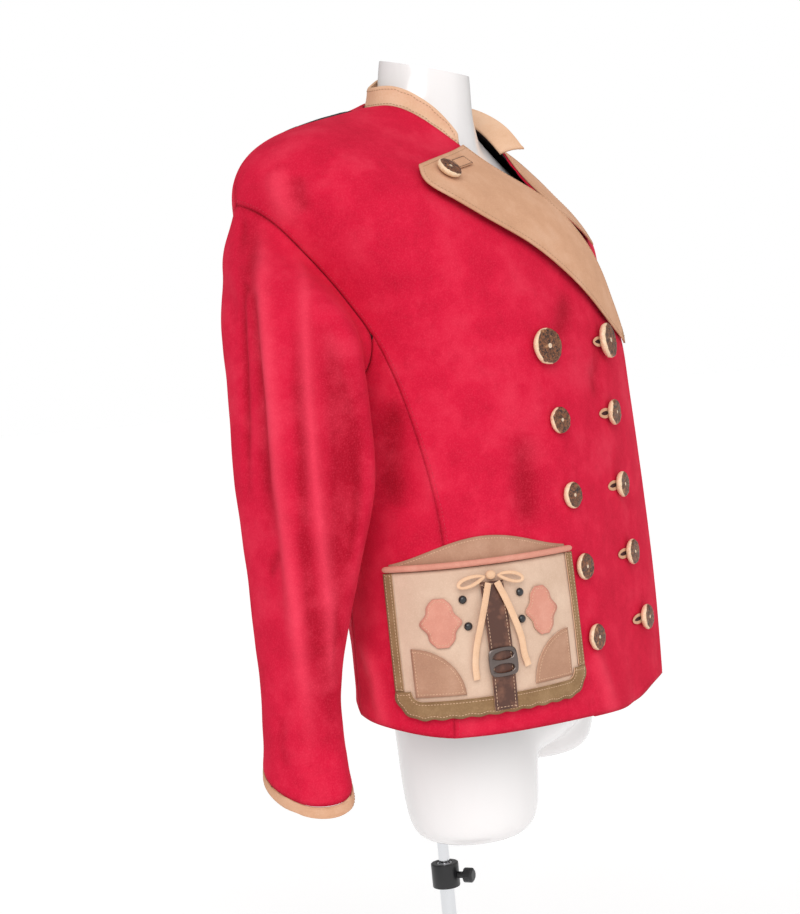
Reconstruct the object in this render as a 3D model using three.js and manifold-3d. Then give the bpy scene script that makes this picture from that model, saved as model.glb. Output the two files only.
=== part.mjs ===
// Double-breasted suede jacket with tan trim, worn by a plain torso form on a pole stand.
// Millimetres, +Z up. The wearer faces -Y, and the wearer's right is -X.
// Heights in the tables are above the front hem, and Y is counted from the middle of the form.

import * as THREE from 'three';
import { mergeVertices } from 'three/addons/utils/BufferGeometryUtils.js';
import Module from 'manifold-3d';

const wasm = await Module();
wasm.setup();

const { lerp, clamp, smoothstep, degToRad, radToDeg } = THREE.MathUtils;
const RIGHT = -1;
const LEFT = 1;
const UP = new THREE.Vector3(0, 0, 1);
const FULL_TURN = 360;

// ---- driving sizes ----
const HEM_ABOVE_FLOOR = 680;
const POLE_BEHIND_MIDDLE = 90;
const SUEDE = 2;
const SEAM_GAP = 0.3;
const LAY_GAP = 0.6;

// ---- finishes ----
const FINISH = {
  redSuede: { color: 0xc81e3c, roughness: 0.95, metalness: 0 },
  tanSuede: { color: 0xcf9c78, roughness: 0.9, metalness: 0 },
  collarSuede: { color: 0xdcb090, roughness: 0.9, metalness: 0 },
  beigeSuede: { color: 0xe0bda2, roughness: 0.9, metalness: 0 },
  taupeSuede: { color: 0xa87d6c, roughness: 0.9, metalness: 0 },
  oliveSuede: { color: 0x8a6a48, roughness: 0.9, metalness: 0 },
  pinkRoll: { color: 0xd88f7e, roughness: 0.85, metalness: 0 },
  strapLeather: { color: 0x5a3020, roughness: 0.5, metalness: 0 },
  laceSuede: { color: 0xe0b892, roughness: 0.9, metalness: 0 },
  antler: { color: 0x6a4c36, roughness: 0.55, metalness: 0 },
  darkSteel: { color: 0x3a3634, roughness: 0.35, metalness: 0.9 },
  blackSteel: { color: 0x1c1a1a, roughness: 0.4, metalness: 0.6 },
  chrome: { color: 0xd0d2d4, roughness: 0.15, metalness: 1 },
  whiteForm: { color: 0xf1eeec, roughness: 0.35, metalness: 0 },
};
const material = Object.fromEntries(
  Object.entries(FINISH).map(([name, look]) => [name, new THREE.MeshStandardMaterial(look)]),
);

const garment = new THREE.Group();
garment.position.set(0, -POLE_BEHIND_MIDDLE, HEM_ABOVE_FLOOR);
const part = new THREE.Group();
part.add(garment);

function addPiece(parent, name, geometry, look) {
  const mesh = new THREE.Mesh(geometry, look);
  mesh.name = name;
  parent.add(mesh);
  return mesh;
}

// ---- tables read smoothly between their rows ----
function slopeAt(rows, key, column, i) {
  const before = rows[Math.max(i - 1, 0)];
  const after = rows[Math.min(i + 1, rows.length - 1)];
  return (after[column] - before[column]) / (after[key] - before[key]);
}

function readColumn(rows, key, column, where) {
  const last = rows.length - 1;
  if (where <= rows[0][key]) {
    return rows[0][column] + slopeAt(rows, key, column, 0) * (where - rows[0][key]);
  }
  if (where >= rows[last][key]) {
    return rows[last][column] + slopeAt(rows, key, column, last) * (where - rows[last][key]);
  }
  let i = 0;
  while (rows[i + 1][key] < where) i += 1;
  const span = rows[i + 1][key] - rows[i][key];
  const t = (where - rows[i][key]) / span;
  const from = rows[i][column];
  const to = rows[i + 1][column];
  const slopeFrom = slopeAt(rows, key, column, i) * span;
  const slopeTo = slopeAt(rows, key, column, i + 1) * span;
  return from + t * (slopeFrom + t * (3 * (to - from) - 2 * slopeFrom - slopeTo
    + t * (2 * (from - to) + slopeFrom + slopeTo)));
}

function readRow(rows, key, where) {
  const row = {};
  for (const column of Object.keys(rows[0])) {
    row[column] = column === key ? where : readColumn(rows, key, column, where);
  }
  return row;
}

// ---- the jacket's shell ----
// Each ring is a rounded oval. `level` is its height at the sides, `front` and `back` its depths
// from `middleY`, `dropFront` and `dropBack` how far it sinks there below its level, and
// `square` and `squareBack` its roundness, 2 for an ellipse and more for squarer corners.
const SHELL_RINGS = [
  {
    level: 0, halfWidth: 238, middleY: 0, front: 142, back: 110,
    dropFront: 0, dropBack: 0, square: 2.3, squareBack: 2.3,
  },
  {
    level: 95, halfWidth: 236, middleY: 2, front: 143, back: 109,
    dropFront: 0, dropBack: 0, square: 2.3, squareBack: 2.3,
  },
  {
    level: 190, halfWidth: 230, middleY: 6, front: 147, back: 114,
    dropFront: 0, dropBack: 0, square: 2.25, squareBack: 2.25,
  },
  {
    level: 290, halfWidth: 218, middleY: 14, front: 156, back: 124,
    dropFront: 2, dropBack: 2, square: 2.2, squareBack: 2.2,
  },
  {
    level: 370, halfWidth: 208, middleY: 28, front: 170, back: 126,
    dropFront: 30, dropBack: 10, square: 2.3, squareBack: 2.3,
  },
  {
    level: 440, halfWidth: 214, middleY: 50, front: 190, back: 116,
    dropFront: 70, dropBack: 20, square: 2.3, squareBack: 2.5,
  },
  {
    level: 510, halfWidth: 238, middleY: 78, front: 215, back: 104,
    dropFront: 108, dropBack: 30, square: 2.05, squareBack: 2.6,
  },
  {
    level: 558, halfWidth: 242, middleY: 92, front: 226, back: 86,
    dropFront: 128, dropBack: 28, square: 1.95, squareBack: 2.5,
  },
  {
    level: 587, halfWidth: 210, middleY: 92, front: 221, back: 80,
    dropFront: 132, dropBack: 20, square: 1.95, squareBack: 2.2,
  },
  {
    level: 607, halfWidth: 162, middleY: 82, front: 200, back: 78,
    dropFront: 124, dropBack: 8, square: 2, squareBack: 2,
  },
  {
    level: 619, halfWidth: 116, middleY: 62, front: 160, back: 66,
    dropFront: 104, dropBack: -8, square: 2, squareBack: 2,
  },
  {
    level: 628, halfWidth: 80, middleY: 38, front: 96, back: 46,
    dropFront: 80, dropBack: -18, square: 2, squareBack: 2,
  },
];
const NECK_LEVEL = 628;

// Soft ridges and troughs of the shell. `turn` is degrees round from the centre front, plus to
// the wearer's left, at the height `low`; `lean` is degrees gained per 100 mm of height.
const SHELL_FOLDS = [
  { turn: 32, rise: 8, width: 22, low: -200, high: 420, lean: 0 },
  { turn: -19, rise: 8, width: 7, low: -90, high: 80, lean: 0 },
  { turn: -98, rise: 6, width: 6, low: -120, high: 150, lean: -4 },
  { turn: -88, rise: -5, width: 6, low: 160, high: 390, lean: 1 },
  { turn: -128, rise: 5, width: 7, low: -140, high: 240, lean: 2 },
  { turn: -165, rise: 5, width: 8, low: -150, high: 280, lean: 0 },
  { turn: 165, rise: 4, width: 8, low: -130, high: 220, lean: 1 },
  { turn: 132, rise: 6, width: 6, low: -150, high: 260, lean: -2 },
  { turn: 97, rise: 5, width: 6, low: -120, high: 160, lean: 3 },
  { turn: 88, rise: -5, width: 6, low: 60, high: 380, lean: -1 },
  { turn: 58, rise: 4, width: 7, low: -100, high: 180, lean: 0 },
];

function foldRise(folds, turn, height) {
  let rise = 0;
  for (const fold of folds) {
    const along = (height - fold.low) / (fold.high - fold.low);
    if (along <= 0 || along >= 1) continue;
    const ridge = fold.turn + fold.lean * (height - Math.max(fold.low, 0)) / 100;
    const away = ((turn - ridge + 540) % 360 - 180) / fold.width;
    rise += fold.rise * Math.sin(Math.PI * along) ** 2 * Math.exp(-away * away);
  }
  return rise;
}

function ovalPoint(row, turn, extra) {
  const sine = Math.sin(degToRad(turn));
  const cosine = Math.cos(degToRad(turn));
  const depth = cosine >= 0 ? row.front : row.back;
  const drop = cosine >= 0 ? row.dropFront : row.dropBack;
  const square = cosine >= 0 ? row.square : row.squareBack;
  const height = row.level - drop * cosine * cosine;
  const reach = (Math.abs(sine / row.halfWidth) ** square
    + Math.abs(cosine / depth) ** square) ** (-1 / square) + extra(turn, height);
  return new THREE.Vector3(reach * sine, row.middleY - reach * cosine, height);
}

function shellPoint(turn, level) {
  return ovalPoint(readRow(SHELL_RINGS, 'level', level), turn, (t, h) => foldRise(SHELL_FOLDS, t, h));
}

function shellNormal(turn, level) {
  const STEP_TURN = 0.5;
  const STEP_LEVEL = 1.5;
  const round = shellPoint(turn + STEP_TURN, level).sub(shellPoint(turn - STEP_TURN, level));
  const top = Math.min(level + STEP_LEVEL, NECK_LEVEL);
  const rise = shellPoint(turn, top).sub(shellPoint(turn, top - 2 * STEP_LEVEL));
  return round.cross(rise).normalize();
}

const SEARCH_BELOW = -60;
const SEARCH_ABOVE = NECK_LEVEL + 10;
const SEARCH_STEPS = 30;
function levelAt(turn, height) {
  const cosine = Math.cos(degToRad(turn));
  const column = cosine >= 0 ? 'dropFront' : 'dropBack';
  let low = SEARCH_BELOW;
  let high = SEARCH_ABOVE;
  for (let i = 0; i < SEARCH_STEPS; i += 1) {
    const middle = (low + high) / 2;
    const there = middle - readColumn(SHELL_RINGS, 'level', column, middle) * cosine * cosine;
    if (there < height) low = middle;
    else high = middle;
  }
  return (low + high) / 2;
}

// The point `out` millimetres off the shell, at a turn from the centre front and a height.
function onShell(turn, height, out) {
  const level = levelAt(turn, height);
  return shellPoint(turn, level).addScaledVector(shellNormal(turn, level), out);
}

function neckHeight(turn) {
  const cosine = Math.cos(degToRad(turn));
  const ring = SHELL_RINGS[SHELL_RINGS.length - 1];
  return ring.level - (cosine >= 0 ? ring.dropFront : ring.dropBack) * cosine * cosine;
}

const FACING = 89;
// The turn at which the shell's front lies `across` millimetres to the wearer's left.
function turnAcross(across, height) {
  let low = -FACING;
  let high = FACING;
  for (let i = 0; i < SEARCH_STEPS; i += 1) {
    const middle = (low + high) / 2;
    if (shellPoint(middle, levelAt(middle, height)).x < across) low = middle;
    else high = middle;
  }
  return (low + high) / 2;
}

// ---- closed walls from two sheets of points, [row][column] ----
function sheetsToWall(inner, outer, tube = false) {
  const rows = inner.length;
  const columns = inner[0].length;
  const positions = [];
  for (const sheet of [inner, outer]) {
    for (const row of sheet) {
      for (const point of row) positions.push(point.x, point.y, point.z);
    }
  }
  const at = (side, r, c) => side * rows * columns + r * columns + c % columns;
  const index = [];
  const quad = (a, b, c, d) => index.push(a, b, c, a, c, d);
  const spans = tube ? columns : columns - 1;
  for (let r = 0; r + 1 < rows; r += 1) {
    for (let c = 0; c < spans; c += 1) {
      quad(at(1, r, c), at(1, r, c + 1), at(1, r + 1, c + 1), at(1, r + 1, c));
      quad(at(0, r, c), at(0, r + 1, c), at(0, r + 1, c + 1), at(0, r, c + 1));
    }
    if (!tube) {
      quad(at(0, r, 0), at(1, r, 0), at(1, r + 1, 0), at(0, r + 1, 0));
      quad(at(1, r, columns - 1), at(0, r, columns - 1), at(0, r + 1, columns - 1), at(1, r + 1, columns - 1));
    }
  }
  for (let c = 0; c < spans; c += 1) {
    quad(at(0, 0, c), at(0, 0, c + 1), at(1, 0, c + 1), at(1, 0, c));
    quad(at(1, rows - 1, c), at(1, rows - 1, c + 1), at(0, rows - 1, c + 1), at(0, rows - 1, c));
  }
  return outwardGeometry(positions, index);
}

function outwardGeometry(positions, index) {
  const corner = (i) => new THREE.Vector3().fromArray(positions, 3 * i);
  let volume = 0;
  for (let i = 0; i < index.length; i += 3) {
    volume += corner(index[i]).dot(corner(index[i + 1]).cross(corner(index[i + 2])));
  }
  if (volume < 0) {
    for (let i = 0; i < index.length; i += 3) {
      [index[i + 1], index[i + 2]] = [index[i + 2], index[i + 1]];
    }
  }
  const geometry = new THREE.BufferGeometry();
  geometry.setAttribute('position', new THREE.Float32BufferAttribute(positions, 3));
  geometry.setIndex(index);
  return geometry;
}

// A wall over the shell: spotAt(u, v) gives { turn, height } and, if it stands off, { lift }.
function clothWall(spotAt, columns, rows, from, thickness = SUEDE) {
  const sheet = (out) => rows.map((v) => columns.map((u) => {
    const spot = spotAt(u, v);
    return onShell(spot.turn, spot.height, out + (spot.lift ?? 0));
  }));
  return sheetsToWall(sheet(from), sheet(from + thickness));
}

function evenSteps(count, from = 0, to = 1) {
  return Array.from({ length: count + 1 }, (_, i) => lerp(from, to, i / count));
}

function alongLine(points, t) {
  const curve = new THREE.SplineCurve(points.map((p) => new THREE.Vector2(p.turn, p.height)));
  const spot = curve.getPointAt(clamp(t, 0, 1));
  return { turn: spot.x, height: spot.y };
}

// A four-sided piece: fills smoothly between its bottom, top, start and end edges.
function fillBetween(edges, u, v) {
  const mix = (key) => {
    const down = edges.bottom(u)[key];
    const up = edges.top(u)[key];
    const start = edges.start(v)[key];
    const end = edges.end(v)[key];
    const corners = lerp(
      lerp(edges.bottom(0)[key], edges.bottom(1)[key], u),
      lerp(edges.top(0)[key], edges.top(1)[key], u),
      v,
    );
    return lerp(down, up, v) + lerp(start, end, u) - corners;
  };
  return { turn: mix('turn'), height: mix('height') };
}

// ---- seam lines, with turns for the wearer's left; the right side mirrors them ----
const HEM_LINE = [
  { turn: 0, height: 3 }, { turn: 25, height: 4 }, { turn: 42, height: 8 }, { turn: 62, height: 11 },
  { turn: 79, height: 12 }, { turn: 86, height: 16 }, { turn: 93, height: 23 }, { turn: 104, height: 33 },
  { turn: 118, height: 38 }, { turn: 135, height: 40 }, { turn: 180, height: 38 },
];
// In front the hem is drawn up a little to the wearer's left of the middle.
const HEM_DRAWN_UP = { rise: 9, from: 2, peak: 24, to: 62 };
const ARMHOLE_FOOT_HEIGHT = 396;
const SIDE_FRONT_SEAM = [
  { turn: 79, height: 12 }, { turn: 77, height: 110 }, { turn: 76.5, height: 214 },
  { turn: 80, height: 326 }, { turn: 83, height: ARMHOLE_FOOT_HEIGHT },
];
const SIDE_BACK_SEAM = [
  { turn: 104, height: 33 }, { turn: 104, height: 110 }, { turn: 105, height: 214 },
  { turn: 106, height: 326 }, { turn: 106, height: ARMHOLE_FOOT_HEIGHT },
];
const ARMHOLE_FRONT = [
  { turn: 83, height: ARMHOLE_FOOT_HEIGHT }, { turn: 85.6, height: 424 }, { turn: 88, height: 462 },
  { turn: 91, height: 504 }, { turn: 95, height: 524 }, { turn: 100, height: 533 },
];
const ARMHOLE_BACK = [
  { turn: 106, height: ARMHOLE_FOOT_HEIGHT }, { turn: 106, height: 425 }, { turn: 105.5, height: 460 },
  { turn: 104.5, height: 497 }, { turn: 103, height: 522 }, { turn: 100, height: 533 },
];
const ARMHOLE_UNDER = [
  { turn: 83, height: ARMHOLE_FOOT_HEIGHT }, { turn: 88, height: 360 }, { turn: 94.5, height: 346 },
  { turn: 101, height: 360 }, { turn: 106, height: ARMHOLE_FOOT_HEIGHT },
];
const SHOULDER_NECK_TURN = 95;
const SHOULDER_GAP = 0.5;
const SHOULDER_BOW = 0.9;
const NECK_DROP = 0.5;
const COLLAR_END_TURN = 38;

function hemSpot(turn) {
  const away = Math.abs(turn);
  return { turn, height: readColumn(HEM_LINE, 'turn', 'height', away > 180 ? FULL_TURN - away : away) };
}

function hemDrawnUp(turn) {
  const { rise, from, peak, to } = HEM_DRAWN_UP;
  return rise * smoothstep(turn, from, peak) * (1 - smoothstep(turn, peak, to));
}

function neckSpot(turn) {
  return { turn, height: neckHeight(turn) - NECK_DROP };
}

function shoulderSpot(t) {
  const tip = ARMHOLE_FRONT[ARMHOLE_FRONT.length - 1];
  const rise = Math.sin(t * Math.PI / 2) ** SHOULDER_BOW;
  return {
    turn: lerp(tip.turn, SHOULDER_NECK_TURN, t),
    height: lerp(tip.height, neckHeight(SHOULDER_NECK_TURN) - NECK_DROP, rise),
  };
}

// Parts a panel's edge from the shoulder seam by half the gap; `toBack` is -1 on a front.
function shoulderPart(spot, toBack) {
  const reach = Math.abs(onShell(spot.turn, spot.height, 0).x);
  const part = radToDeg(SHOULDER_GAP / 2 / reach) * toBack;
  const round = Math.abs(spot.turn) > FULL_TURN / 2 ? 1 : Math.sign(spot.turn);
  return { ...spot, turn: spot.turn + part * round };
}

const mirrorSpot = (spot, side) => ({ ...spot, turn: spot.turn * side });

const LOWER_ROWS = 12;
const ARMHOLE_ROWS = 8;
const SIDE_SHARE = 0.62;
// Shares of the way up an armhole, closing up towards the shoulder.
const ARMHOLE_CLOSING = 1.5;
const ARMHOLE_STEPS = evenSteps(ARMHOLE_ROWS).map((t) => 1 - (1 - t) ** ARMHOLE_CLOSING);
const PANEL_ROWS = [
  ...evenSteps(LOWER_ROWS, 0, SIDE_SHARE).slice(0, -1),
  ...ARMHOLE_STEPS.map((t) => lerp(SIDE_SHARE, 1, t)),
];
const SHOULDER_COLUMNS = 7;
const NECK_COLUMNS = 7;

// Up a side seam to the foot of the armhole, then up the armhole to the shoulder tip.
function sideEdge(seam, armhole, v) {
  return v <= SIDE_SHARE
    ? alongLine(seam, v / SIDE_SHARE)
    : alongLine(armhole, (v - SIDE_SHARE) / (1 - SIDE_SHARE));
}

// Draws a grid's steps in from the seams by half a seam gap at both ends.
function insetSteps(steps, length) {
  const inset = SEAM_GAP / 2 / length;
  return steps.map((t) => (t === 0 ? inset : t === 1 ? 1 - inset : t));
}

// ---- fronts ----
const FRONT_EDGE_ACROSS = 96;
const BREAK_HEIGHT = 366;
const OVERLAP_LIFT = 2.5;
const OVERLAP_FADE = { fromTurn: 30, toTurn: 62, fromHeight: 520, toHeight: 570 };
const FRONT_WIDTH = 360;
const FRONT_SHOULDER_SHARE = 0.5;

// The front edge up to the break of the lapel, then the roll line up to the collar end.
// It is told for the wearer's right front, which reaches past the middle to the left.
function frontEdge(v, foot = HEM_LINE[0].height) {
  if (v <= SIDE_SHARE) {
    const height = lerp(foot, BREAK_HEIGHT, v / SIDE_SHARE);
    return { turn: turnAcross(FRONT_EDGE_ACROSS, height), height };
  }
  return rollSpot((v - SIDE_SHARE) / (1 - SIDE_SHARE));
}

// The roll line, from the break at 0 to the collar end at 1, for the right lapel.
function rollSpot(t) {
  const top = neckSpot(-COLLAR_END_TURN);
  if (t >= 1) return top;
  const height = lerp(BREAK_HEIGHT, top.height, t);
  const across = lerp(FRONT_EDGE_ACROSS, onShell(top.turn, top.height, 0).x, t);
  return { turn: turnAcross(across, height), height };
}

function frontEdges(side) {
  const frontTurn = frontEdge(0).turn;
  const foot = HEM_LINE[0].height + hemDrawnUp(-side * frontTurn);
  const toSide = (spot) => mirrorSpot(spot, side);
  return {
    bottom: (u) => {
      const turn = lerp(SIDE_FRONT_SEAM[0].turn, -frontTurn, u);
      const spot = hemSpot(turn);
      return toSide({ turn, height: spot.height + hemDrawnUp(side * turn) });
    },
    top: (u) => toSide(u <= FRONT_SHOULDER_SHARE
      ? shoulderSpot(u / FRONT_SHOULDER_SHARE)
      : neckSpot(lerp(SHOULDER_NECK_TURN, COLLAR_END_TURN, (u - FRONT_SHOULDER_SHARE) / (1 - FRONT_SHOULDER_SHARE)))),
    start: (v) => toSide(sideEdge(SIDE_FRONT_SEAM, ARMHOLE_FRONT, v)),
    end: (v) => {
      const spot = frontEdge(v, foot);
      return toSide({ turn: -spot.turn, height: spot.height });
    },
  };
}

// The right front laps over the left one, so they part a little from the shell's surface.
function overlapLift(turn, height) {
  const nearMiddle = 1 - smoothstep(Math.abs(turn), OVERLAP_FADE.fromTurn, OVERLAP_FADE.toTurn);
  return OVERLAP_LIFT * nearMiddle * (1 - smoothstep(height, OVERLAP_FADE.fromHeight, OVERLAP_FADE.toHeight));
}

function frontSpot(edges, side, u, v) {
  let spot = fillBetween(edges, u, v);
  if (v === 1 && u <= FRONT_SHOULDER_SHARE) spot = shoulderPart(spot, -1);
  return { ...spot, lift: -side * overlapLift(spot.turn, spot.height) };
}

const FRONT_COLUMNS = [
  ...evenSteps(SHOULDER_COLUMNS, 0, FRONT_SHOULDER_SHARE).slice(0, -1),
  ...evenSteps(NECK_COLUMNS, FRONT_SHOULDER_SHARE, 1),
];
for (const [name, side] of [['front_right', RIGHT], ['front_left', LEFT]]) {
  const edges = frontEdges(side);
  const wall = clothWall(
    (u, v) => frontSpot(edges, side, u, v),
    insetSteps(FRONT_COLUMNS, FRONT_WIDTH),
    PANEL_ROWS,
    0,
  );
  addPiece(garment, name, wall, material.redSuede);
}

// ---- side panels ----
const SIDE_COLUMNS = 5;
const SIDE_WIDTH = 110;
const SIDE_LENGTH = 380;
for (const [name, side] of [['side_right', RIGHT], ['side_left', LEFT]]) {
  const toSide = (spot) => mirrorSpot(spot, side);
  const edges = {
    bottom: (u) => toSide(hemSpot(lerp(SIDE_FRONT_SEAM[0].turn, SIDE_BACK_SEAM[0].turn, u))),
    top: (u) => toSide(alongLine(ARMHOLE_UNDER, u)),
    start: (v) => toSide(alongLine(SIDE_FRONT_SEAM, v)),
    end: (v) => toSide(alongLine(SIDE_BACK_SEAM, v)),
  };
  const wall = clothWall(
    (u, v) => fillBetween(edges, u, v),
    insetSteps(evenSteps(SIDE_COLUMNS), SIDE_WIDTH),
    insetSteps(evenSteps(LOWER_ROWS), SIDE_LENGTH),
    0,
  );
  addPiece(garment, name, wall, material.redSuede);
}

// ---- back ----
const BACK_NECK_COLUMNS = 9;
const BACK_SHOULDER_SHARE = 0.34;
const BACK_WIDTH = 480;

function backEdges() {
  // The right half uses turns down to -180, and the left half runs on past it.
  const rightHalf = (spot) => ({ ...spot, turn: -spot.turn });
  const leftHalf = (spot) => ({ ...spot, turn: spot.turn - FULL_TURN });
  const hemTurn = SIDE_BACK_SEAM[0].turn;
  return {
    bottom: (u) => hemSpot(lerp(-hemTurn, hemTurn - FULL_TURN, u)),
    top: (u) => {
      if (u < BACK_SHOULDER_SHARE) return rightHalf(shoulderSpot(u / BACK_SHOULDER_SHARE));
      if (u > 1 - BACK_SHOULDER_SHARE) return leftHalf(shoulderSpot((1 - u) / BACK_SHOULDER_SHARE));
      const t = (u - BACK_SHOULDER_SHARE) / (1 - 2 * BACK_SHOULDER_SHARE);
      return neckSpot(lerp(-SHOULDER_NECK_TURN, SHOULDER_NECK_TURN - FULL_TURN, t));
    },
    start: (v) => rightHalf(sideEdge(SIDE_BACK_SEAM, ARMHOLE_BACK, v)),
    end: (v) => leftHalf(sideEdge(SIDE_BACK_SEAM, ARMHOLE_BACK, v)),
  };
}

const BACK_COLUMNS = [
  ...evenSteps(SHOULDER_COLUMNS, 0, BACK_SHOULDER_SHARE).slice(0, -1),
  ...evenSteps(BACK_NECK_COLUMNS, BACK_SHOULDER_SHARE, 1 - BACK_SHOULDER_SHARE).slice(0, -1),
  ...evenSteps(SHOULDER_COLUMNS, 1 - BACK_SHOULDER_SHARE, 1),
];
const backOutline = backEdges();
function backSpot(u, v) {
  const spot = fillBetween(backOutline, u, v);
  const onShoulder = v === 1 && Math.min(u, 1 - u) <= BACK_SHOULDER_SHARE;
  return onShoulder ? shoulderPart(spot, 1) : spot;
}
addPiece(garment, 'back', clothWall(
  backSpot,
  insetSteps(BACK_COLUMNS, BACK_WIDTH),
  PANEL_ROWS,
  0,
), material.redSuede);

// ---- sleeves ----
// Rings of the hanging sleeve; `outward` is from the middle of the jacket, and the slopes say
// how steeply a ring sinks towards the outside and towards the front.
const SLEEVE_RINGS = [
  { height: -22, outward: 293, middleY: 81, halfX: 31, halfY: 43.5, slopeOut: 0.44, slopeFront: 0.4 },
  { height: 30, outward: 292, middleY: 81, halfX: 31, halfY: 40, slopeOut: 0.38, slopeFront: 0.32 },
  { height: 75, outward: 291, middleY: 78.5, halfX: 32, halfY: 39, slopeOut: 0.3, slopeFront: 0.2 },
  { height: 120, outward: 290, middleY: 74, halfX: 33, halfY: 46, slopeOut: 0.2, slopeFront: 0.05 },
  { height: 190, outward: 285, middleY: 65, halfX: 34, halfY: 59, slopeOut: 0.1, slopeFront: 0 },
  { height: 265, outward: 274, middleY: 57.5, halfX: 37, halfY: 71, slopeOut: 0, slopeFront: 0 },
  { height: 330, outward: 263, middleY: 64, halfX: 41, halfY: 72, slopeOut: -0.4, slopeFront: 0 },
  { height: 385, outward: 258, middleY: 69, halfX: 43, halfY: 71, slopeOut: -1, slopeFront: 0 },
];
// Creases of the sleeve; `turn` runs from its outermost line towards the front.
const SLEEVE_FOLDS = [
  { turn: -32, rise: -5, width: 9, low: 120, high: 640, lean: 0 },
  { turn: 20, rise: 5, width: 11, low: -120, high: 560, lean: -7 },
  { turn: 44, rise: -9, width: 13, low: 60, high: 560, lean: -4 },
  { turn: 70, rise: 4, width: 12, low: 20, high: 460, lean: 2 },
  { turn: 100, rise: -5, width: 10, low: 150, high: 520, lean: 0 },
  { turn: -70, rise: 4, width: 14, low: 40, high: 520, lean: 0 },
  { turn: -115, rise: -6, width: 13, low: 90, high: 480, lean: 0 },
];
const SLEEVE_CAP_HEIGHT = SLEEVE_RINGS[SLEEVE_RINGS.length - 1].height;
const CAP_ROWS = 6;
// How the sleeve head leaves the armhole: outward and down at its top, and sideways before
// and behind the arm, as shares of the distance to the arm's first ring.
const CAP = {
  outAtTop: 0.3, downAtTop: 0.8, before: 0.2, behind: 1.15, behindPower: -0.4, intoArm: 0.8, foldShift: 0.3,
};
const SLEEVE_ROWS = 12;
const CUFF_BAND = 10;
const UNDER_FROM_TURN = 128;

function sleevePoint(side, turn, height, out = 0) {
  const row = readRow(SLEEVE_RINGS, 'height', height);
  const reach = foldRise(SLEEVE_FOLDS, turn, height) + out;
  const outward = (row.halfX + reach) * Math.cos(degToRad(turn));
  const forward = (row.halfY + reach) * Math.sin(degToRad(turn));
  return new THREE.Vector3(
    side * (row.outward + outward),
    row.middleY - forward,
    height - row.slopeOut * outward - row.slopeFront * forward,
  );
}

// Round the armhole from the shoulder tip, down the front, under the arm and up the back.
function armholeLoop() {
  const loop = [];
  for (const t of [...ARMHOLE_STEPS].reverse().slice(0, -1)) {
    loop.push({ ...alongLine(ARMHOLE_FRONT, t), round: lerp(UNDER_FROM_TURN, 0, t) });
  }
  for (const t of evenSteps(SIDE_COLUMNS).slice(0, -1)) {
    loop.push({ ...alongLine(ARMHOLE_UNDER, t), round: lerp(UNDER_FROM_TURN, FULL_TURN - UNDER_FROM_TURN, t) });
  }
  for (const t of ARMHOLE_STEPS.slice(0, -1)) {
    loop.push({ ...alongLine(ARMHOLE_BACK, t), round: lerp(FULL_TURN - UNDER_FROM_TURN, FULL_TURN, t) });
  }
  return loop;
}

function hermite(from, leave, to, arrive, t) {
  const square = t * t;
  const cube = square * t;
  return new THREE.Vector3()
    .addScaledVector(from, 2 * cube - 3 * square + 1)
    .addScaledVector(leave, cube - 2 * square + t)
    .addScaledVector(to, 3 * square - 2 * cube)
    .addScaledVector(arrive, cube - square);
}

function buildSleeve(side) {
  const loop = armholeLoop();
  const middle = new THREE.Vector3();
  const starts = loop.map((spot) => {
    const level = levelAt(spot.turn * side, spot.height);
    const point = shellPoint(spot.turn * side, level);
    middle.addScaledVector(point, 1 / loop.length);
    return { ...spot, point, normal: shellNormal(spot.turn * side, level) };
  });
  // The first ring stands a seam gap inside the armhole's line.
  for (const start of starts) {
    const inward = middle.clone().sub(start.point);
    inward.addScaledVector(start.normal, -inward.dot(start.normal)).normalize();
    start.point.addScaledVector(inward, SEAM_GAP);
  }
  const rings = [starts.map((start) => start.point.clone().addScaledVector(start.normal, SUEDE / 2))];
  for (const t of evenSteps(CAP_ROWS).slice(1)) {
    rings.push(starts.map((start) => {
      const to = sleevePoint(side, start.round, SLEEVE_CAP_HEIGHT);
      const from = start.point.clone().addScaledVector(start.normal, SUEDE / 2);
      const length = from.distanceTo(to);
      const topness = (1 + Math.cos(degToRad(start.round))) / 2;
      const sine = Math.sin(degToRad(start.round));
      const sideways = new THREE.Vector3(0, -sine, 0);
      const back = CAP.behind * Math.abs(sine) ** CAP.behindPower;
      const leave = start.normal.clone().multiplyScalar(lerp(1, CAP.outAtTop, topness))
        .addScaledVector(sideways, sine < 0 ? back : CAP.before)
        .addScaledVector(UP, -lerp(0, CAP.downAtTop, topness)).multiplyScalar(length);
      const arrive = UP.clone().multiplyScalar(-length * lerp(CAP.intoArm, 1, topness));
      const point = hermite(from, leave, to, arrive, t);
      const fade = smoothstep(t, 0, 1) * (1 - t);
      const push = foldRise(SLEEVE_FOLDS, start.round, lerp(point.z, SLEEVE_CAP_HEIGHT, CAP.foldShift)) * fade;
      return point.addScaledVector(start.normal, push);
    }));
  }
  for (const t of evenSteps(SLEEVE_ROWS).slice(1)) {
    const height = lerp(SLEEVE_CAP_HEIGHT, SLEEVE_RINGS[0].height + CUFF_BAND + LAY_GAP, t);
    rings.push(starts.map((start) => sleevePoint(side, start.round, height)));
  }
  const count = starts.length;
  const normals = rings.map((ring, r) => ring.map((point, c) => {
    if (r === 0) return starts[c].normal;
    const above = rings[r - 1][c];
    const below = rings[Math.min(r + 1, rings.length - 1)][c];
    const next = ring[(c + 1) % count];
    const last = ring[(c + count - 1) % count];
    const normal = next.clone().sub(last).cross(below.clone().sub(above)).normalize();
    return normal.multiplyScalar(side);
  }));
  const sheet = (out) => rings.map((ring, r) => ring.map(
    (point, c) => point.clone().addScaledVector(normals[r][c], out),
  ));
  return sheetsToWall(sheet(-SUEDE / 2), sheet(SUEDE / 2), true);
}

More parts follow.
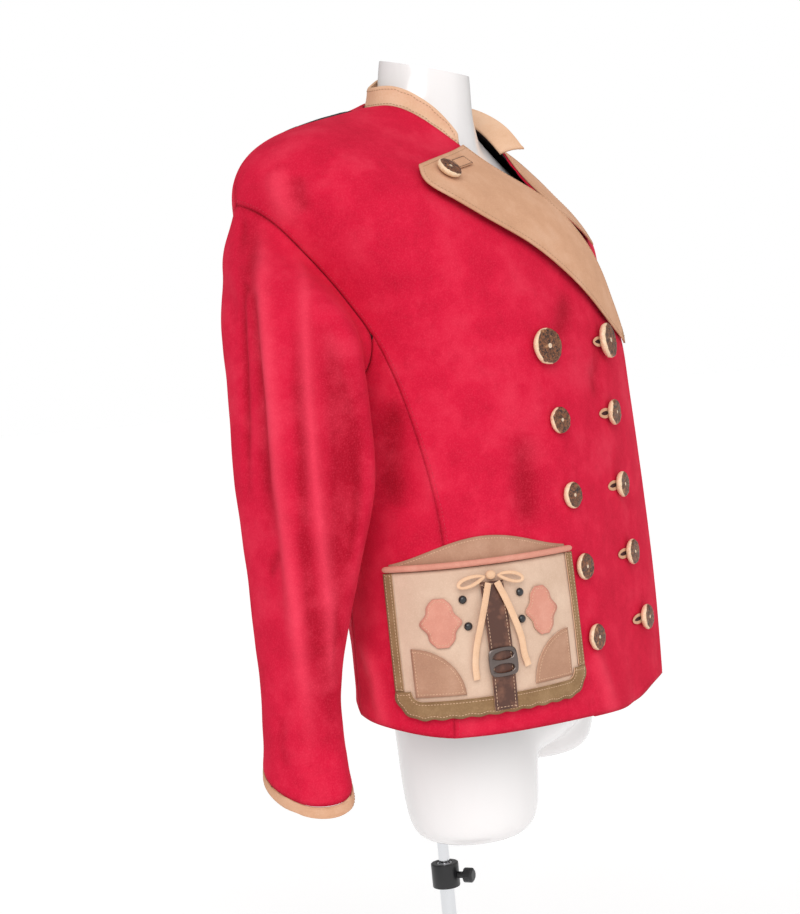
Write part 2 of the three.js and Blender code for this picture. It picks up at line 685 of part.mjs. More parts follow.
const CUFF_THICKNESS = 3.2;
const CUFF_ROWS = 2;
function buildCuffBand(side) {
  const rounds = armholeLoop().map((spot) => spot.round);
  const sheet = (out) => evenSteps(CUFF_ROWS, SLEEVE_RINGS[0].height, SLEEVE_RINGS[0].height + CUFF_BAND)
    .map((height) => rounds.map((round) => sleevePoint(side, round, height, out)));
  return sheetsToWall(sheet(-CUFF_THICKNESS / 2), sheet(CUFF_THICKNESS / 2), true);
}

for (const [name, side] of [['right', RIGHT], ['left', LEFT]]) {
  addPiece(garment, `sleeve_${name}`, buildSleeve(side), material.redSuede);
  addPiece(garment, `cuff_binding_${name}`, buildCuffBand(side), material.tanSuede);
}

// ---- stand collar ----
const COLLAR_THICKNESS = 2.6;
const COLLAR_COLUMNS = 24;
const COLLAR_ROWS = 3;
const COLLAR_END_ROUND = 9;
const COLLAR_INSET = 1.2;
// How far the collar's top edge leans away from the neck and how high it stands, by the turn.
const COLLAR_LEAN = [
  { turn: -322, lean: 27, stand: 13 }, { turn: -292, lean: 22, stand: 14 }, { turn: -265, lean: 14, stand: 16 },
  { turn: -225, lean: 0, stand: 22 }, { turn: -180, lean: -8, stand: 24 }, { turn: -135, lean: -7, stand: 22 },
  { turn: -90, lean: -3, stand: 22 }, { turn: -38, lean: 0, stand: 25 },
];

function collarPoint(u, v, out) {
  const turn = lerp(COLLAR_END_TURN - FULL_TURN, -COLLAR_END_TURN, u);
  const foot = shellPoint(turn, NECK_LEVEL);
  const away = new THREE.Vector3(Math.sin(degToRad(turn)), -Math.cos(degToRad(turn)), 0);
  const fromEnd = Math.min(u, 1 - u) * COLLAR_COLUMNS;
  const rounding = COLLAR_END_ROUND * (1 - smoothstep(fromEnd, 0, 1)) * v;
  const { lean, stand } = readRow(COLLAR_LEAN, 'turn', turn);
  return foot.addScaledVector(away, out + lean * v).addScaledVector(UP, (stand - rounding) * v);
}

const collarSheet = (out) => evenSteps(COLLAR_ROWS).map((v) => evenSteps(COLLAR_COLUMNS)
  .map((u) => collarPoint(u, v, out)));
addPiece(
  garment,
  'collar',
  sheetsToWall(collarSheet(-COLLAR_INSET - COLLAR_THICKNESS), collarSheet(-COLLAR_INSET)),
  material.collarSuede,
);

// ---- turned-out lapels ----
// The outer edge of the right lapel, from its top corner down to the break.
const LAPEL_EDGE = [
  { across: -163, height: 548 }, { across: -181, height: 527 }, { across: -162, height: 513 },
  { across: -139, height: 490 }, { across: -99, height: 466 }, { across: -52, height: 432 },
  { across: 25, height: 385 }, { across: 97, height: 362 },
];
const LAPEL_COLUMNS = 4;
const LAPEL_ROWS = 14;
const LAPEL_GAP = 1;
const LAPEL_SPRING = { [RIGHT]: 4, [LEFT]: 1.5 };
const RIGHT_LAPEL_FROM = 0.02;
const LEFT_LAPEL_FROM = 0.67;

function lapelSpot(side, from, u, v) {
  const t = lerp(from, 1, v);
  const roll = rollSpot(t);
  const edge = new THREE.SplineCurve(LAPEL_EDGE.map((p) => new THREE.Vector2(p.across, p.height)))
    .getPointAt(1 - t);
  const turn = -side * lerp(roll.turn, turnAcross(edge.x, edge.y), u);
  const height = lerp(roll.height, edge.y, u);
  const spring = LAPEL_SPRING[side] * Math.sin(u * Math.PI / 2) * smoothstep(t, 0, 0.5);
  return { turn, height, lift: spring - side * overlapLift(turn, height) };
}

for (const [name, side, from] of [['lapel_right', RIGHT, RIGHT_LAPEL_FROM], ['lapel_left', LEFT, LEFT_LAPEL_FROM]]) {
  const wall = clothWall(
    (u, v) => lapelSpot(side, from, u, v),
    evenSteps(LAPEL_COLUMNS),
    evenSteps(Math.ceil(LAPEL_ROWS * (1 - from))),
    SUEDE + LAPEL_GAP,
  );
  addPiece(garment, name, wall, material.tanSuede);
}

// ---- the torso form ----
// At the shoulders, levels 607 and 619, the form follows the shell a few millimetres inside it.
const FORM_RINGS = [
  {
    level: -45, halfWidth: 132, middleY: 10, front: 60, back: 78,
    dropFront: 0, dropBack: 0, square: 2.2, squareBack: 2.2,
  },
  {
    level: -25, halfWidth: 152, middleY: 10, front: 80, back: 85,
    dropFront: 0, dropBack: 0, square: 2.2, squareBack: 2.2,
  },
  {
    level: 10, halfWidth: 164, middleY: 10, front: 94, back: 89,
    dropFront: 0, dropBack: 0, square: 2.2, squareBack: 2.2,
  },
  {
    level: 50, halfWidth: 171, middleY: 10, front: 104, back: 91,
    dropFront: 0, dropBack: 0, square: 2.2, squareBack: 2.2,
  },
  {
    level: 140, halfWidth: 156, middleY: 6, front: 104, back: 92,
    dropFront: 0, dropBack: 0, square: 2.2, squareBack: 2.2,
  },
  {
    level: 240, halfWidth: 140, middleY: 4, front: 100, back: 90,
    dropFront: 0, dropBack: 0, square: 2.2, squareBack: 2.2,
  },
  {
    level: 340, halfWidth: 160, middleY: 16, front: 126, back: 98,
    dropFront: 20, dropBack: 5, square: 2.2, squareBack: 2.2,
  },
  {
    level: 420, halfWidth: 176, middleY: 36, front: 156, back: 96,
    dropFront: 60, dropBack: 20, square: 2.1, squareBack: 2.1,
  },
  {
    level: 500, halfWidth: 186, middleY: 66, front: 184, back: 84,
    dropFront: 100, dropBack: 28, square: 2.1, squareBack: 2.1,
  },
  {
    level: 560, halfWidth: 206, middleY: 90, front: 198, back: 78,
    dropFront: 126, dropBack: 27, square: 2.2, squareBack: 2.2,
  },
  {
    level: 587, halfWidth: 198, middleY: 91, front: 196, back: 75,
    dropFront: 132, dropBack: 20, square: 2.1, squareBack: 2.1,
  },
  {
    level: 607, halfWidth: 153, middleY: 82, front: 178, back: 70.5,
    dropFront: 124, dropBack: 8, square: 2, squareBack: 2,
  },
  {
    level: 619, halfWidth: 106, middleY: 62, front: 138, back: 55,
    dropFront: 104, dropBack: -8, square: 2, squareBack: 2,
  },
  {
    level: 628, halfWidth: 63, middleY: 35, front: 62, back: 40,
    dropFront: 60, dropBack: -14, square: 2, squareBack: 2,
  },
  {
    level: 640, halfWidth: 50, middleY: 28, front: 50, back: 47,
    dropFront: 26, dropBack: -6, square: 2, squareBack: 2,
  },
  {
    level: 672, halfWidth: 47, middleY: 22, front: 46, back: 47,
    dropFront: 14, dropBack: -14, square: 2, squareBack: 2,
  },
];
const FORM_SIDES = 28;
const FORM_LEVELS = [-45, -25, 10, 50, 140, 240, 340, 420, 490, 540, 570, 587, 598, 607, 613, 619, 624, 628, 640, 672];
const THIGHS = [
  { side: RIGHT, across: 88, middleY: 9, radius: 74, foot: -123 },
  { side: LEFT, across: 88, middleY: 9, radius: 74, foot: -76 },
];
const THIGH_TOP = 30;
// The rounded foot of a thigh stub: shares of its radius, and heights above its lowest point.
const THIGH_FOOT = [
  { share: 0, rise: 0 }, { share: 0.4, rise: 1 }, { share: 0.68, rise: 5 },
  { share: 0.85, rise: 15 }, { share: 0.92, rise: 34 }, { share: 0.96, rise: 68 },
];
const THIGH_SIDES = 18;

function ringsToSolid(rings) {
  const positions = [];
  const index = [];
  const sides = rings[0].length;
  for (const ring of rings) for (const point of ring) positions.push(point.x, point.y, point.z);
  for (let r = 0; r + 1 < rings.length; r += 1) {
    for (let c = 0; c < sides; c += 1) {
      const a = r * sides + c;
      const b = r * sides + (c + 1) % sides;
      index.push(a, b, b + sides, a, b + sides, a + sides);
    }
  }
  for (const [start, flip] of [[0, true], [(rings.length - 1) * sides, false]]) {
    const hub = positions.length / 3;
    const centre = new THREE.Vector3();
    for (let c = 0; c < sides; c += 1) {
      centre.add(new THREE.Vector3().fromArray(positions, 3 * (start + c)));
    }
    centre.multiplyScalar(1 / sides);
    positions.push(centre.x, centre.y, centre.z);
    for (let c = 0; c < sides; c += 1) {
      const a = start + c;
      const b = start + (c + 1) % sides;
      index.push(...(flip ? [hub, b, a] : [hub, a, b]));
    }
  }
  return outwardGeometry(positions, index);
}

function toManifold(geometry) {
  const bare = geometry.clone();
  bare.deleteAttribute('normal');
  bare.deleteAttribute('uv');
  const merged = mergeVertices(bare, 1e-3);
  return new wasm.Manifold(new wasm.Mesh({
    numProp: 3,
    vertProperties: Float32Array.from(merged.getAttribute('position').array),
    triVerts: Uint32Array.from(merged.getIndex().array),
  }));
}

function fromManifold(solid) {
  const mesh = solid.getMesh();
  const geometry = new THREE.BufferGeometry();
  geometry.setAttribute('position', new THREE.BufferAttribute(Float32Array.from(mesh.vertProperties), 3));
  geometry.setIndex(new THREE.BufferAttribute(Uint32Array.from(mesh.triVerts), 1));
  return geometry;
}

function buildForm() {
  const rings = FORM_LEVELS.map((level) => {
    const row = readRow(FORM_RINGS, 'level', level);
    return evenSteps(FORM_SIDES).slice(0, -1).map((t) => ovalPoint(row, t * FULL_TURN - FULL_TURN / 2, () => 0));
  });
  let solid = toManifold(ringsToSolid(rings));
  for (const thigh of THIGHS) {
    const stub = turned([
      ...THIGH_FOOT.map(({ share, rise }) => [thigh.radius * share, thigh.foot + rise]),
      [thigh.radius, THIGH_TOP - 1], [0, THIGH_TOP],
    ], THIGH_SIDES);
    stub.translate(thigh.side * thigh.across, thigh.middleY, 0);
    solid = solid.add(toManifold(stub));
  }
  return fromManifold(solid);
}
addPiece(garment, 'form_torso', buildForm(), material.whiteForm);

// ---- buttonhole bindings and buttons ----
// A flat patch over the shell: corner spots are { turn, height, lift } from a (u, v) rule.
const HOLE_LENGTH = 30;
const HOLE_WIDTH = 9;
const HOLE_THICKNESS = 1.2;
const HOLE_COLUMNS = 4;
const BUTTON_SIDES = 10;
const BUTTON_SEAT = 0.6;
// The two columns lean a little, as the front does.
const BUTTON_ROWS = [
  { height: 369, right: -112, left: 1 }, { height: 297, right: -107, left: -4 },
  { height: 223, right: -102, left: 2 }, { height: 152, right: -95, left: 13 },
  { height: 81, right: -87, left: 35 },
];
const TOP_BUTTON = { radius: 18, thickness: 7 };
const BUTTON = { radius: 13, thickness: 6 };
// A button's top edge is bevelled: shares of its thickness and of its radius.
const BUTTON_EDGE = { height: 0.6, radius: 0.75 };
const HOLE_BEFORE_BUTTON = 14;

function onFront(across, height) {
  const turn = turnAcross(across, height);
  return { turn, height, lift: overlapLift(turn, height) };
}

function addButton(name, spot, out, size) {
  const { radius, thickness } = size;
  const profile = [
    [0, 0], [radius, 0], [radius, thickness * BUTTON_EDGE.height],
    [radius * BUTTON_EDGE.radius, thickness], [0, thickness],
  ];
  const button = addPiece(garment, name, turned(profile, BUTTON_SIDES), material.antler);
  const level = levelAt(spot.turn, spot.height);
  button.position.copy(onShell(spot.turn, spot.height, out + (spot.lift ?? 0)));
  button.quaternion.setFromUnitVectors(UP, shellNormal(spot.turn, level));
}

BUTTON_ROWS.forEach(({ height, right, left }, i) => {
  const size = i === 0 ? TOP_BUTTON : BUTTON;
  const hole = clothWall(
    (u, v) => onFront(
      left - HOLE_BEFORE_BUTTON + lerp(-HOLE_LENGTH / 2, HOLE_LENGTH / 2, u),
      height + lerp(-HOLE_WIDTH / 2, HOLE_WIDTH / 2, v),
    ),
    evenSteps(HOLE_COLUMNS),
    evenSteps(1),
    SUEDE + LAY_GAP,
    HOLE_THICKNESS,
  );
  addPiece(garment, `buttonhole_${i + 1}`, hole, material.tanSuede);
  const holeTop = SUEDE + LAY_GAP + HOLE_THICKNESS;
  addButton(`button_right_${i + 1}`, onFront(right, height), SUEDE + BUTTON_SEAT, size);
  addButton(`button_left_${i + 1}`, onFront(left, height), holeTop + BUTTON_SEAT, size);
});

// The lapel's own button and hole sit in its corner.
const LAPEL_BUTTON_AT = { u: 0.7, v: 0.93 };
const LAPEL_HOLE = { fromU: 0.34, toU: 0.56, fromV: 0.925, toV: 0.965 };
const onLapel = (u, v) => lapelSpot(RIGHT, RIGHT_LAPEL_FROM, u, v);
const LAPEL_TOP = 2 * SUEDE + LAPEL_GAP;
addButton('button_lapel', onLapel(LAPEL_BUTTON_AT.u, LAPEL_BUTTON_AT.v), LAPEL_TOP + 2 * BUTTON_SEAT, BUTTON);
addPiece(garment, 'buttonhole_lapel', clothWall(
  (u, v) => onLapel(lerp(LAPEL_HOLE.fromU, LAPEL_HOLE.toU, u), lerp(LAPEL_HOLE.fromV, LAPEL_HOLE.toV, v)),
  evenSteps(HOLE_COLUMNS),
  evenSteps(1),
  LAPEL_TOP + LAY_GAP,
  HOLE_THICKNESS,
), material.tanSuede);

// ---- patch pocket on the right hip, made up like a small rucksack ----
// Its pieces are laid out flat: `s` runs forward round the hip from the pocket's rear edge and
// `z` is the height. Each lies a step further out than the one it is sewn on.
const POCKET_REAR_TURN = -91;
const POCKET_WIDTH = 200;
const POCKET_MEASURED_AT = 100;
const POCKET_BOTTOM = 33;
const POCKET_MOUTH = 170;
const POCKET_CORNER = 26;
const POCKET_PUFF = 3;
const POCKET_STEP_TURN = 2;
const POCKET_TURNS_PAST = 10;
const PATCH_THICKNESS = 1.3;
const PATCH_STEP = PATCH_THICKNESS + LAY_GAP;
const BACK_LAYER_OUT = SUEDE + LAY_GAP;
const BODY_OUT = BACK_LAYER_OUT + PATCH_STEP;
const TRIM_OUT = BODY_OUT + PATCH_STEP;
const STRAP_OUT = TRIM_OUT + PATCH_STEP;
const BUCKLE_OUT = STRAP_OUT + SUEDE + LAY_GAP;

const pocketTurns = [{ s: 0, turn: POCKET_REAR_TURN }];
while (pocketTurns[pocketTurns.length - 1].s < POCKET_WIDTH + POCKET_TURNS_PAST) {
  const last = pocketTurns[pocketTurns.length - 1];
  const here = onShell(last.turn, POCKET_MEASURED_AT, SUEDE);
  const next = onShell(last.turn + POCKET_STEP_TURN, POCKET_MEASURED_AT, SUEDE);
  pocketTurns.push({ s: last.s + here.distanceTo(next), turn: last.turn + POCKET_STEP_TURN });
}

function pocketSpot(s, z, more = 0) {
  const turn = readColumn(pocketTurns, 's', 'turn', s);
  const across = Math.sin(Math.PI * clamp(s / POCKET_WIDTH, 0, 1));
  const up = Math.sin(Math.PI * clamp((z - POCKET_BOTTOM) / (POCKET_MOUTH - POCKET_BOTTOM), 0, 1));
  return { turn, height: z, lift: overlapLift(turn, z) + POCKET_PUFF * across * up + more };
}

function pocketPatch(name, spotAt, columns, rows, from, look, thickness = PATCH_THICKNESS) {
  const wall = clothWall((u, v) => {
    const { s, z, more } = spotAt(u, v);
    return pocketSpot(s, z, more);
  }, evenSteps(columns), evenSteps(rows), from, thickness);
  addPiece(garment, name, wall, look);
}

const mirrorS = (s, half) => (half === LEFT ? s : POCKET_WIDTH - s);
const FRONT_AND_REAR = [['rear', LEFT], ['front', RIGHT]];

const BACK_LAYER_SIDE = 178;
const BACK_LAYER_PEAK = 20;
const BACK_LAYER_BOW = 1.5;
const BACK_LAYER_INSET = 5;
const BACK_LAYER_FOOT = 40;
// The body's rows close up towards its rounded bottom corners.
const BODY_CLOSING = 1.6;
const CORNER_CLEAR = 0.5;
pocketPatch('pocket_back_layer', (u, v) => {
  const top = BACK_LAYER_SIDE + BACK_LAYER_PEAK * Math.sin(Math.PI * u) ** BACK_LAYER_BOW;
  return { s: lerp(BACK_LAYER_INSET, POCKET_WIDTH - BACK_LAYER_INSET, u), z: lerp(BACK_LAYER_FOOT, top, v) };
}, 12, 6, BACK_LAYER_OUT, material.taupeSuede);

// How far the rounded bottom corners draw the pocket's sides in at a height.
function cornerInset(z) {
  const up = clamp((z - POCKET_BOTTOM) / POCKET_CORNER, 0, 1);
  return POCKET_CORNER * (1 - Math.sqrt(1 - (1 - up) ** 2));
}
pocketPatch('pocket_body', (u, v) => {
  const z = lerp(POCKET_BOTTOM, POCKET_MOUTH, v ** BODY_CLOSING);
  const inset = cornerInset(Math.max(z, POCKET_BOTTOM + CORNER_CLEAR));
  return { s: lerp(inset, POCKET_WIDTH - inset, u), z };
}, 12, 8, BODY_OUT, material.beigeSuede);

// The scalloped band follows the rounded bottom edge.
const BAND_WIDTH = 16;
const SCALLOPS = 14;
const SCALLOP_DEPTH = 2.5;
const BAND_COLUMNS = SCALLOPS * 3;
const CORNER_ARC = POCKET_CORNER * Math.PI / 2;
const STRAIGHT = POCKET_WIDTH - 2 * POCKET_CORNER;
function bandSpot(u, v) {
  const along = u * (2 * CORNER_ARC + STRAIGHT);
  const scallop = SCALLOP_DEPTH * Math.abs(Math.sin(Math.PI * SCALLOPS * u));
  const radius = POCKET_CORNER + lerp(scallop, -BAND_WIDTH, v);
  const centreZ = POCKET_BOTTOM + POCKET_CORNER;
  if (along > CORNER_ARC && along < CORNER_ARC + STRAIGHT) {
    return { s: POCKET_CORNER + along - CORNER_ARC, z: centreZ - radius };
  }
  const half = u < 0.5 ? LEFT : RIGHT;
  const round = (half === LEFT ? along : 2 * CORNER_ARC + STRAIGHT - along) / POCKET_CORNER;
  return {
    s: mirrorS(POCKET_CORNER - radius * Math.cos(round), half),
    z: centreZ - radius * Math.sin(round),
  };
}
pocketPatch('pocket_bottom_band', bandSpot, BAND_COLUMNS, 1, TRIM_OUT, material.oliveSuede);

const BINDING_WIDTH = 9;
const BINDING_FOOT = POCKET_BOTTOM + POCKET_CORNER + SEAM_GAP;
const PATCH_RADIUS = 46;
const PATCH_AT = { s: 20, z: 53 };
const LEAF = { s: 50, foot: 98, length: 46, halfWidth: 15, halfTip: 2, lobe: 0.22, lobes: 5, plump: 0.7 };
const END_SHARE = 0.03;
for (const [end, half] of FRONT_AND_REAR) {
  pocketPatch(`pocket_binding_${end}`, (u, v) => (
    { s: mirrorS(lerp(0, BINDING_WIDTH, u), half), z: lerp(BINDING_FOOT, POCKET_MOUTH, v) }
  ), 1, 6, TRIM_OUT, material.oliveSuede);
  pocketPatch(`pocket_corner_${end}`, (u, v) => {
    // A square grid rounded into a quarter disc.
    const reach = PATCH_RADIUS * Math.max(u, v);
    const share = Math.max(u, v) === 0 ? 0 : Math.min(u, v) / Math.max(u, v);
    const round = degToRad(u >= v ? 45 * share : 90 - 45 * share);
    return { s: mirrorS(PATCH_AT.s + reach * Math.cos(round), half), z: PATCH_AT.z + reach * Math.sin(round) };
  }, 4, 4, TRIM_OUT, material.taupeSuede);
  pocketPatch(`pocket_leaf_${end}`, (u, v) => {
    const lobes = 1 + LEAF.lobe * Math.sin(LEAF.lobes * Math.PI * v);
    const within = Math.PI * clamp(v, END_SHARE, 1 - END_SHARE);
    const width = LEAF.halfTip + LEAF.halfWidth * Math.sin(within) ** LEAF.plump * lobes;
    return { s: mirrorS(LEAF.s + lerp(-width, width, u), half), z: LEAF.foot + LEAF.length * v };
  }, 2, 11, TRIM_OUT, material.pinkRoll);
}

// ---- the pocket's mouth, strap, buckle and lacing ----
function sweep(centreAt, steps, halfAlong, halfOut, sides) {
  return ringsToSolid(evenSteps(steps).map((t) => {
    const c = centreAt(t);
    return evenSteps(sides).slice(0, -1).map((share) => {
      const round = share * 2 * Math.PI;
      const spot = pocketSpot(
        c.s + halfAlong * Math.cos(round) * c.normalS,
        c.z + halfAlong * Math.cos(round) * c.normalZ,
      );
      return onShell(spot.turn, spot.height, c.out + spot.lift + halfOut * Math.sin(round));
    });
  }));
}

const ROLL_RADIUS = 3.3;
const ROLL_STEPS = 14;
const ROLL_SIDES = 8;
addPiece(garment, 'pocket_mouth_roll', sweep((t) => ({
  s: lerp(0, POCKET_WIDTH, t), z: POCKET_MOUTH + SEAM_GAP + ROLL_RADIUS, normalS: 0, normalZ: 1,
  out: BODY_OUT + ROLL_RADIUS,
}), ROLL_STEPS, ROLL_RADIUS, ROLL_RADIUS, ROLL_SIDES), material.pinkRoll);

const STRAP = { from: 89, to: 111, foot: 35, top: 155 };
pocketPatch('pocket_strap', (u, v) => (
  { s: lerp(STRAP.from, STRAP.to, u), z: lerp(STRAP.foot, STRAP.top, v) }
), 2, 8, STRAP_OUT, material.strapLeather, SUEDE);

const BUCKLE = { s: 100, z: 80, width: 30, height: 28, bar: 3.4, thickness: 2.4 };
function buckleGeometry() {
  const { width, height, bar, thickness } = BUCKLE;
  const corner = (x, y) => new THREE.Vector2(x * width / 2, y * height / 2);
  const outline = new THREE.Shape([
    corner(-0.8, -1), corner(0.8, -1), corner(1, -0.8), corner(1, 0.8),
    corner(0.8, 1), corner(-0.8, 1), corner(-1, 0.8), corner(-1, -0.8),
  ]);
  const window = (low, high) => new THREE.Path([
    new THREE.Vector2(-width / 2 + bar, low), new THREE.Vector2(width / 2 - bar, low),
    new THREE.Vector2(width / 2 - bar, high), new THREE.Vector2(-width / 2 + bar, high),
  ]);
  outline.holes.push(window(-height / 2 + bar, -bar / 2), window(bar / 2, height / 2 - bar));
  return new THREE.ExtrudeGeometry(outline, { depth: thickness, bevelEnabled: false });
}
function standOnPocket(mesh, s, z, out) {
  const spot = pocketSpot(s, z);
  const normal = shellNormal(spot.turn, levelAt(spot.turn, z));
  mesh.position.copy(onShell(spot.turn, z, spot.lift + out));
  const right = UP.clone().cross(normal).normalize();
  mesh.quaternion.setFromRotationMatrix(new THREE.Matrix4().makeBasis(right, normal.clone().cross(right), normal));
}
const buckle = addPiece(garment, 'pocket_buckle', buckleGeometry(), material.darkSteel);
standOnPocket(buckle, BUCKLE.s, BUCKLE.z, BUCKLE_OUT);

const HOOK_PROFILE = [[0, 0], [4.5, 0], [4.5, 1.6], [2.4, 3.6], [0, 3.8]];
const HOOK_SIDES = 8;
const HOOKS = [{ s: 72, z: 141 }, { s: 128, z: 141 }, { s: 74, z: 116 }, { s: 126, z: 116 }];
HOOKS.forEach((hook, i) => {
  const stud = turned(HOOK_PROFILE, HOOK_SIDES);
  const mesh = addPiece(garment, `pocket_lace_hook_${i + 1}`, stud, material.blackSteel);
  standOnPocket(mesh, hook.s, hook.z, BODY_OUT + PATCH_THICKNESS + SEAM_GAP);
});

const LACE_TOP = STRAP_OUT + SUEDE + LAY_GAP;
const KNOT = { s: 100, z: 161, halfWide: 5.5, halfHigh: 4.5, halfDeep: 3.4, sides: 10, rings: 6 };
const knot = addPiece(garment, 'pocket_lace_knot', new THREE.SphereGeometry(1, KNOT.sides, KNOT.rings)
  .scale(KNOT.halfWide, KNOT.halfHigh, KNOT.halfDeep), material.laceSuede);
standOnPocket(knot, KNOT.s, KNOT.z, TRIM_OUT + LAY_GAP + KNOT.halfDeep);

const LACE = { halfWide: 3.4, halfDeep: 0.9, sides: 8 };
// Free ends of the lace, from the knot down: places on the pocket and how far out they lie.
const LACE_ENDS = {
  rear: [
    { s: 96, z: 156, out: 0 }, { s: 91, z: 137, out: 0 }, { s: 84, z: 115, out: -0.6 },
    { s: 79, z: 97, out: -2.9 }, { s: 76, z: 80, out: -3.1 }, { s: 76, z: 66, out: -3.1 },
  ],
  front: [
    { s: 104, z: 156, out: 0 }, { s: 109, z: 137, out: 0 }, { s: 117, z: 115, out: -0.6 },
    { s: 122, z: 98, out: -2.9 }, { s: 123, z: 84, out: -3.1 }, { s: 126, z: 72, out: -3.1 },
  ],
};
const LACE_END_STEPS = 10;
const LOOP = { from: 107, length: 24, halfHigh: 5, z: 160, droop: 6, halfWide: 1.9, steps: 14, blunt: 0.3 };
for (const [end, half] of FRONT_AND_REAR) {
  const path = new THREE.CatmullRomCurve3(LACE_ENDS[end].map((p) => new THREE.Vector3(p.s, p.z, p.out)));
  addPiece(garment, `pocket_lace_end_${end}`, sweep((t) => {
    const at = path.getPoint(t);
    const along = path.getTangent(t);
    return { s: at.x, z: at.y, out: LACE_TOP + LACE.halfDeep + at.z, normalS: -along.y, normalZ: along.x };
  }, LACE_END_STEPS, LACE.halfWide, LACE.halfDeep, LACE.sides), material.laceSuede);
  const loop = (out, wide) => evenSteps(LOOP.steps).slice(0, -1).map((t) => {
    const round = t * 2 * Math.PI;
    const reach = 0.5 * (1 - Math.cos(round));
    const s = LOOP.from + LOOP.length * reach - wide * Math.cos(round);
    const z = LOOP.z - LOOP.droop * reach + (LOOP.halfHigh * reach ** LOOP.blunt + wide) * Math.sin(round);
    const spot = pocketSpot(mirrorS(POCKET_WIDTH - s, half), z);
    return onShell(spot.turn, spot.height, spot.lift + out);
  });
  const side = (wide) => [loop(LACE_TOP, wide), loop(LACE_TOP + 2 * LACE.halfDeep, wide)];
  const inner = side(-LOOP.halfWide);
  const outer = side(LOOP.halfWide);
  addPiece(garment, `pocket_lace_loop_${end}`, sheetsToWall(inner, outer, true), material.laceSuede);
}

// ---- pole stand, in the frame of the floor ----
const BASE_RADIUS = 170;
const BASE_THICKNESS = 8;
const BASE_EDGE = 2;
const OUTER_TUBE_RADIUS = 8;
const INNER_TUBE_RADIUS = 6;
const TUBE_WALL = 1.2;
const OUTER_TUBE_TOP = HEM_ABOVE_FLOOR - 176;
const INNER_TUBE_DEPTH = 60;
const RING_RADIUS = 15;
const RING_HEIGHT = 26;
// The clamp's thumb screw: radii and distances along it.
const KNOB_PROFILE = [[0, 0], [3.6, 0], [3.6, 7.2], [8, 8.1], [8, 16.2], [5.6, 18], [0, 18]];
const POLE_SIDES = 16;
const BASE_SIDES = 48;

function turned(profile, sides) {
  const geometry = new THREE.LatheGeometry(profile.map(([r, z]) => new THREE.Vector2(r, z)), sides);
  return geometry.rotateX(Math.PI / 2);
}

function tubeProfile(inner, outer, bottom, top) {
  return [[inner, bottom], [outer, bottom], [outer, top], [inner, top], [inner, bottom]];
}

addPiece(part, 'stand_base', turned([
  [0, 0], [BASE_RADIUS, 0], [BASE_RADIUS, BASE_THICKNESS - BASE_EDGE],
  [BASE_RADIUS - BASE_EDGE, BASE_THICKNESS], [0, BASE_THICKNESS],
], BASE_SIDES), material.chrome);
addPiece(part, 'stand_outer_tube', turned(tubeProfile(
  OUTER_TUBE_RADIUS - TUBE_WALL, OUTER_TUBE_RADIUS, BASE_THICKNESS + SEAM_GAP, OUTER_TUBE_TOP,
), POLE_SIDES), material.chrome);
const poleTop = HEM_ABOVE_FLOOR + FORM_RINGS[0].level - SEAM_GAP;
addPiece(part, 'stand_inner_tube', turned([
  [0, OUTER_TUBE_TOP - INNER_TUBE_DEPTH], [INNER_TUBE_RADIUS, OUTER_TUBE_TOP - INNER_TUBE_DEPTH],
  [INNER_TUBE_RADIUS, poleTop], [0, poleTop],
], POLE_SIDES), material.chrome);
addPiece(part, 'stand_clamp_ring', turned(tubeProfile(
  OUTER_TUBE_RADIUS + SEAM_GAP, RING_RADIUS,
  OUTER_TUBE_TOP - RING_HEIGHT, OUTER_TUBE_TOP + SEAM_GAP,
), POLE_SIDES), material.blackSteel);
const knob = addPiece(part, 'stand_clamp_knob', turned(KNOB_PROFILE, POLE_SIDES), material.blackSteel);
knob.position.set(0, -(RING_RADIUS + SEAM_GAP), OUTER_TUBE_TOP - RING_HEIGHT / 2);
knob.rotation.x = Math.PI / 2;

export default part;
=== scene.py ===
import math
import bmesh
import bpy
import numpy as np
from mathutils import Matrix, Vector, noise
from mathutils.bvhtree import BVHTree
from mathutils.kdtree import KDTree


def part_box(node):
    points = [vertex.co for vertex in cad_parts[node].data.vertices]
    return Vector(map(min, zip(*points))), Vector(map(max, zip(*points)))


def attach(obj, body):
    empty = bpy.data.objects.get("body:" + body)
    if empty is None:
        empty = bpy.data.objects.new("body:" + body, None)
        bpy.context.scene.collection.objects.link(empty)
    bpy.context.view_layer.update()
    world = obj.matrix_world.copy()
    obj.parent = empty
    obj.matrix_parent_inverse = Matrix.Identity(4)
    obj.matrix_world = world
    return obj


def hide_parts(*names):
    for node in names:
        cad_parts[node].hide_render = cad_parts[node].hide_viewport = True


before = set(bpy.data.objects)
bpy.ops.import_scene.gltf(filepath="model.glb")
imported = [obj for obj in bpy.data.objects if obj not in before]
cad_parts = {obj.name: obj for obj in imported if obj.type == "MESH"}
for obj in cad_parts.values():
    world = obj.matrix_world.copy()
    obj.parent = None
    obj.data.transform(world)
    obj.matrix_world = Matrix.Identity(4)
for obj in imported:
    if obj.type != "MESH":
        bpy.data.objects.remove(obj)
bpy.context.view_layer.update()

# ---- Studio ----
# A plain pale floor and large soft lights. The camera stands at the wearer's right
# front, at chest height, and is rolled a little.
EYE = Vector((-1.7696, -0.8577, 1.0363))
HEADING, DIP, ROLL = math.radians(26.01), math.radians(2.58), math.radians(5.59)
LENS = 72.06


def placed(name, data):
    thing = bpy.data.objects.new(name, data)
    bpy.context.scene.collection.objects.link(thing)
    return thing


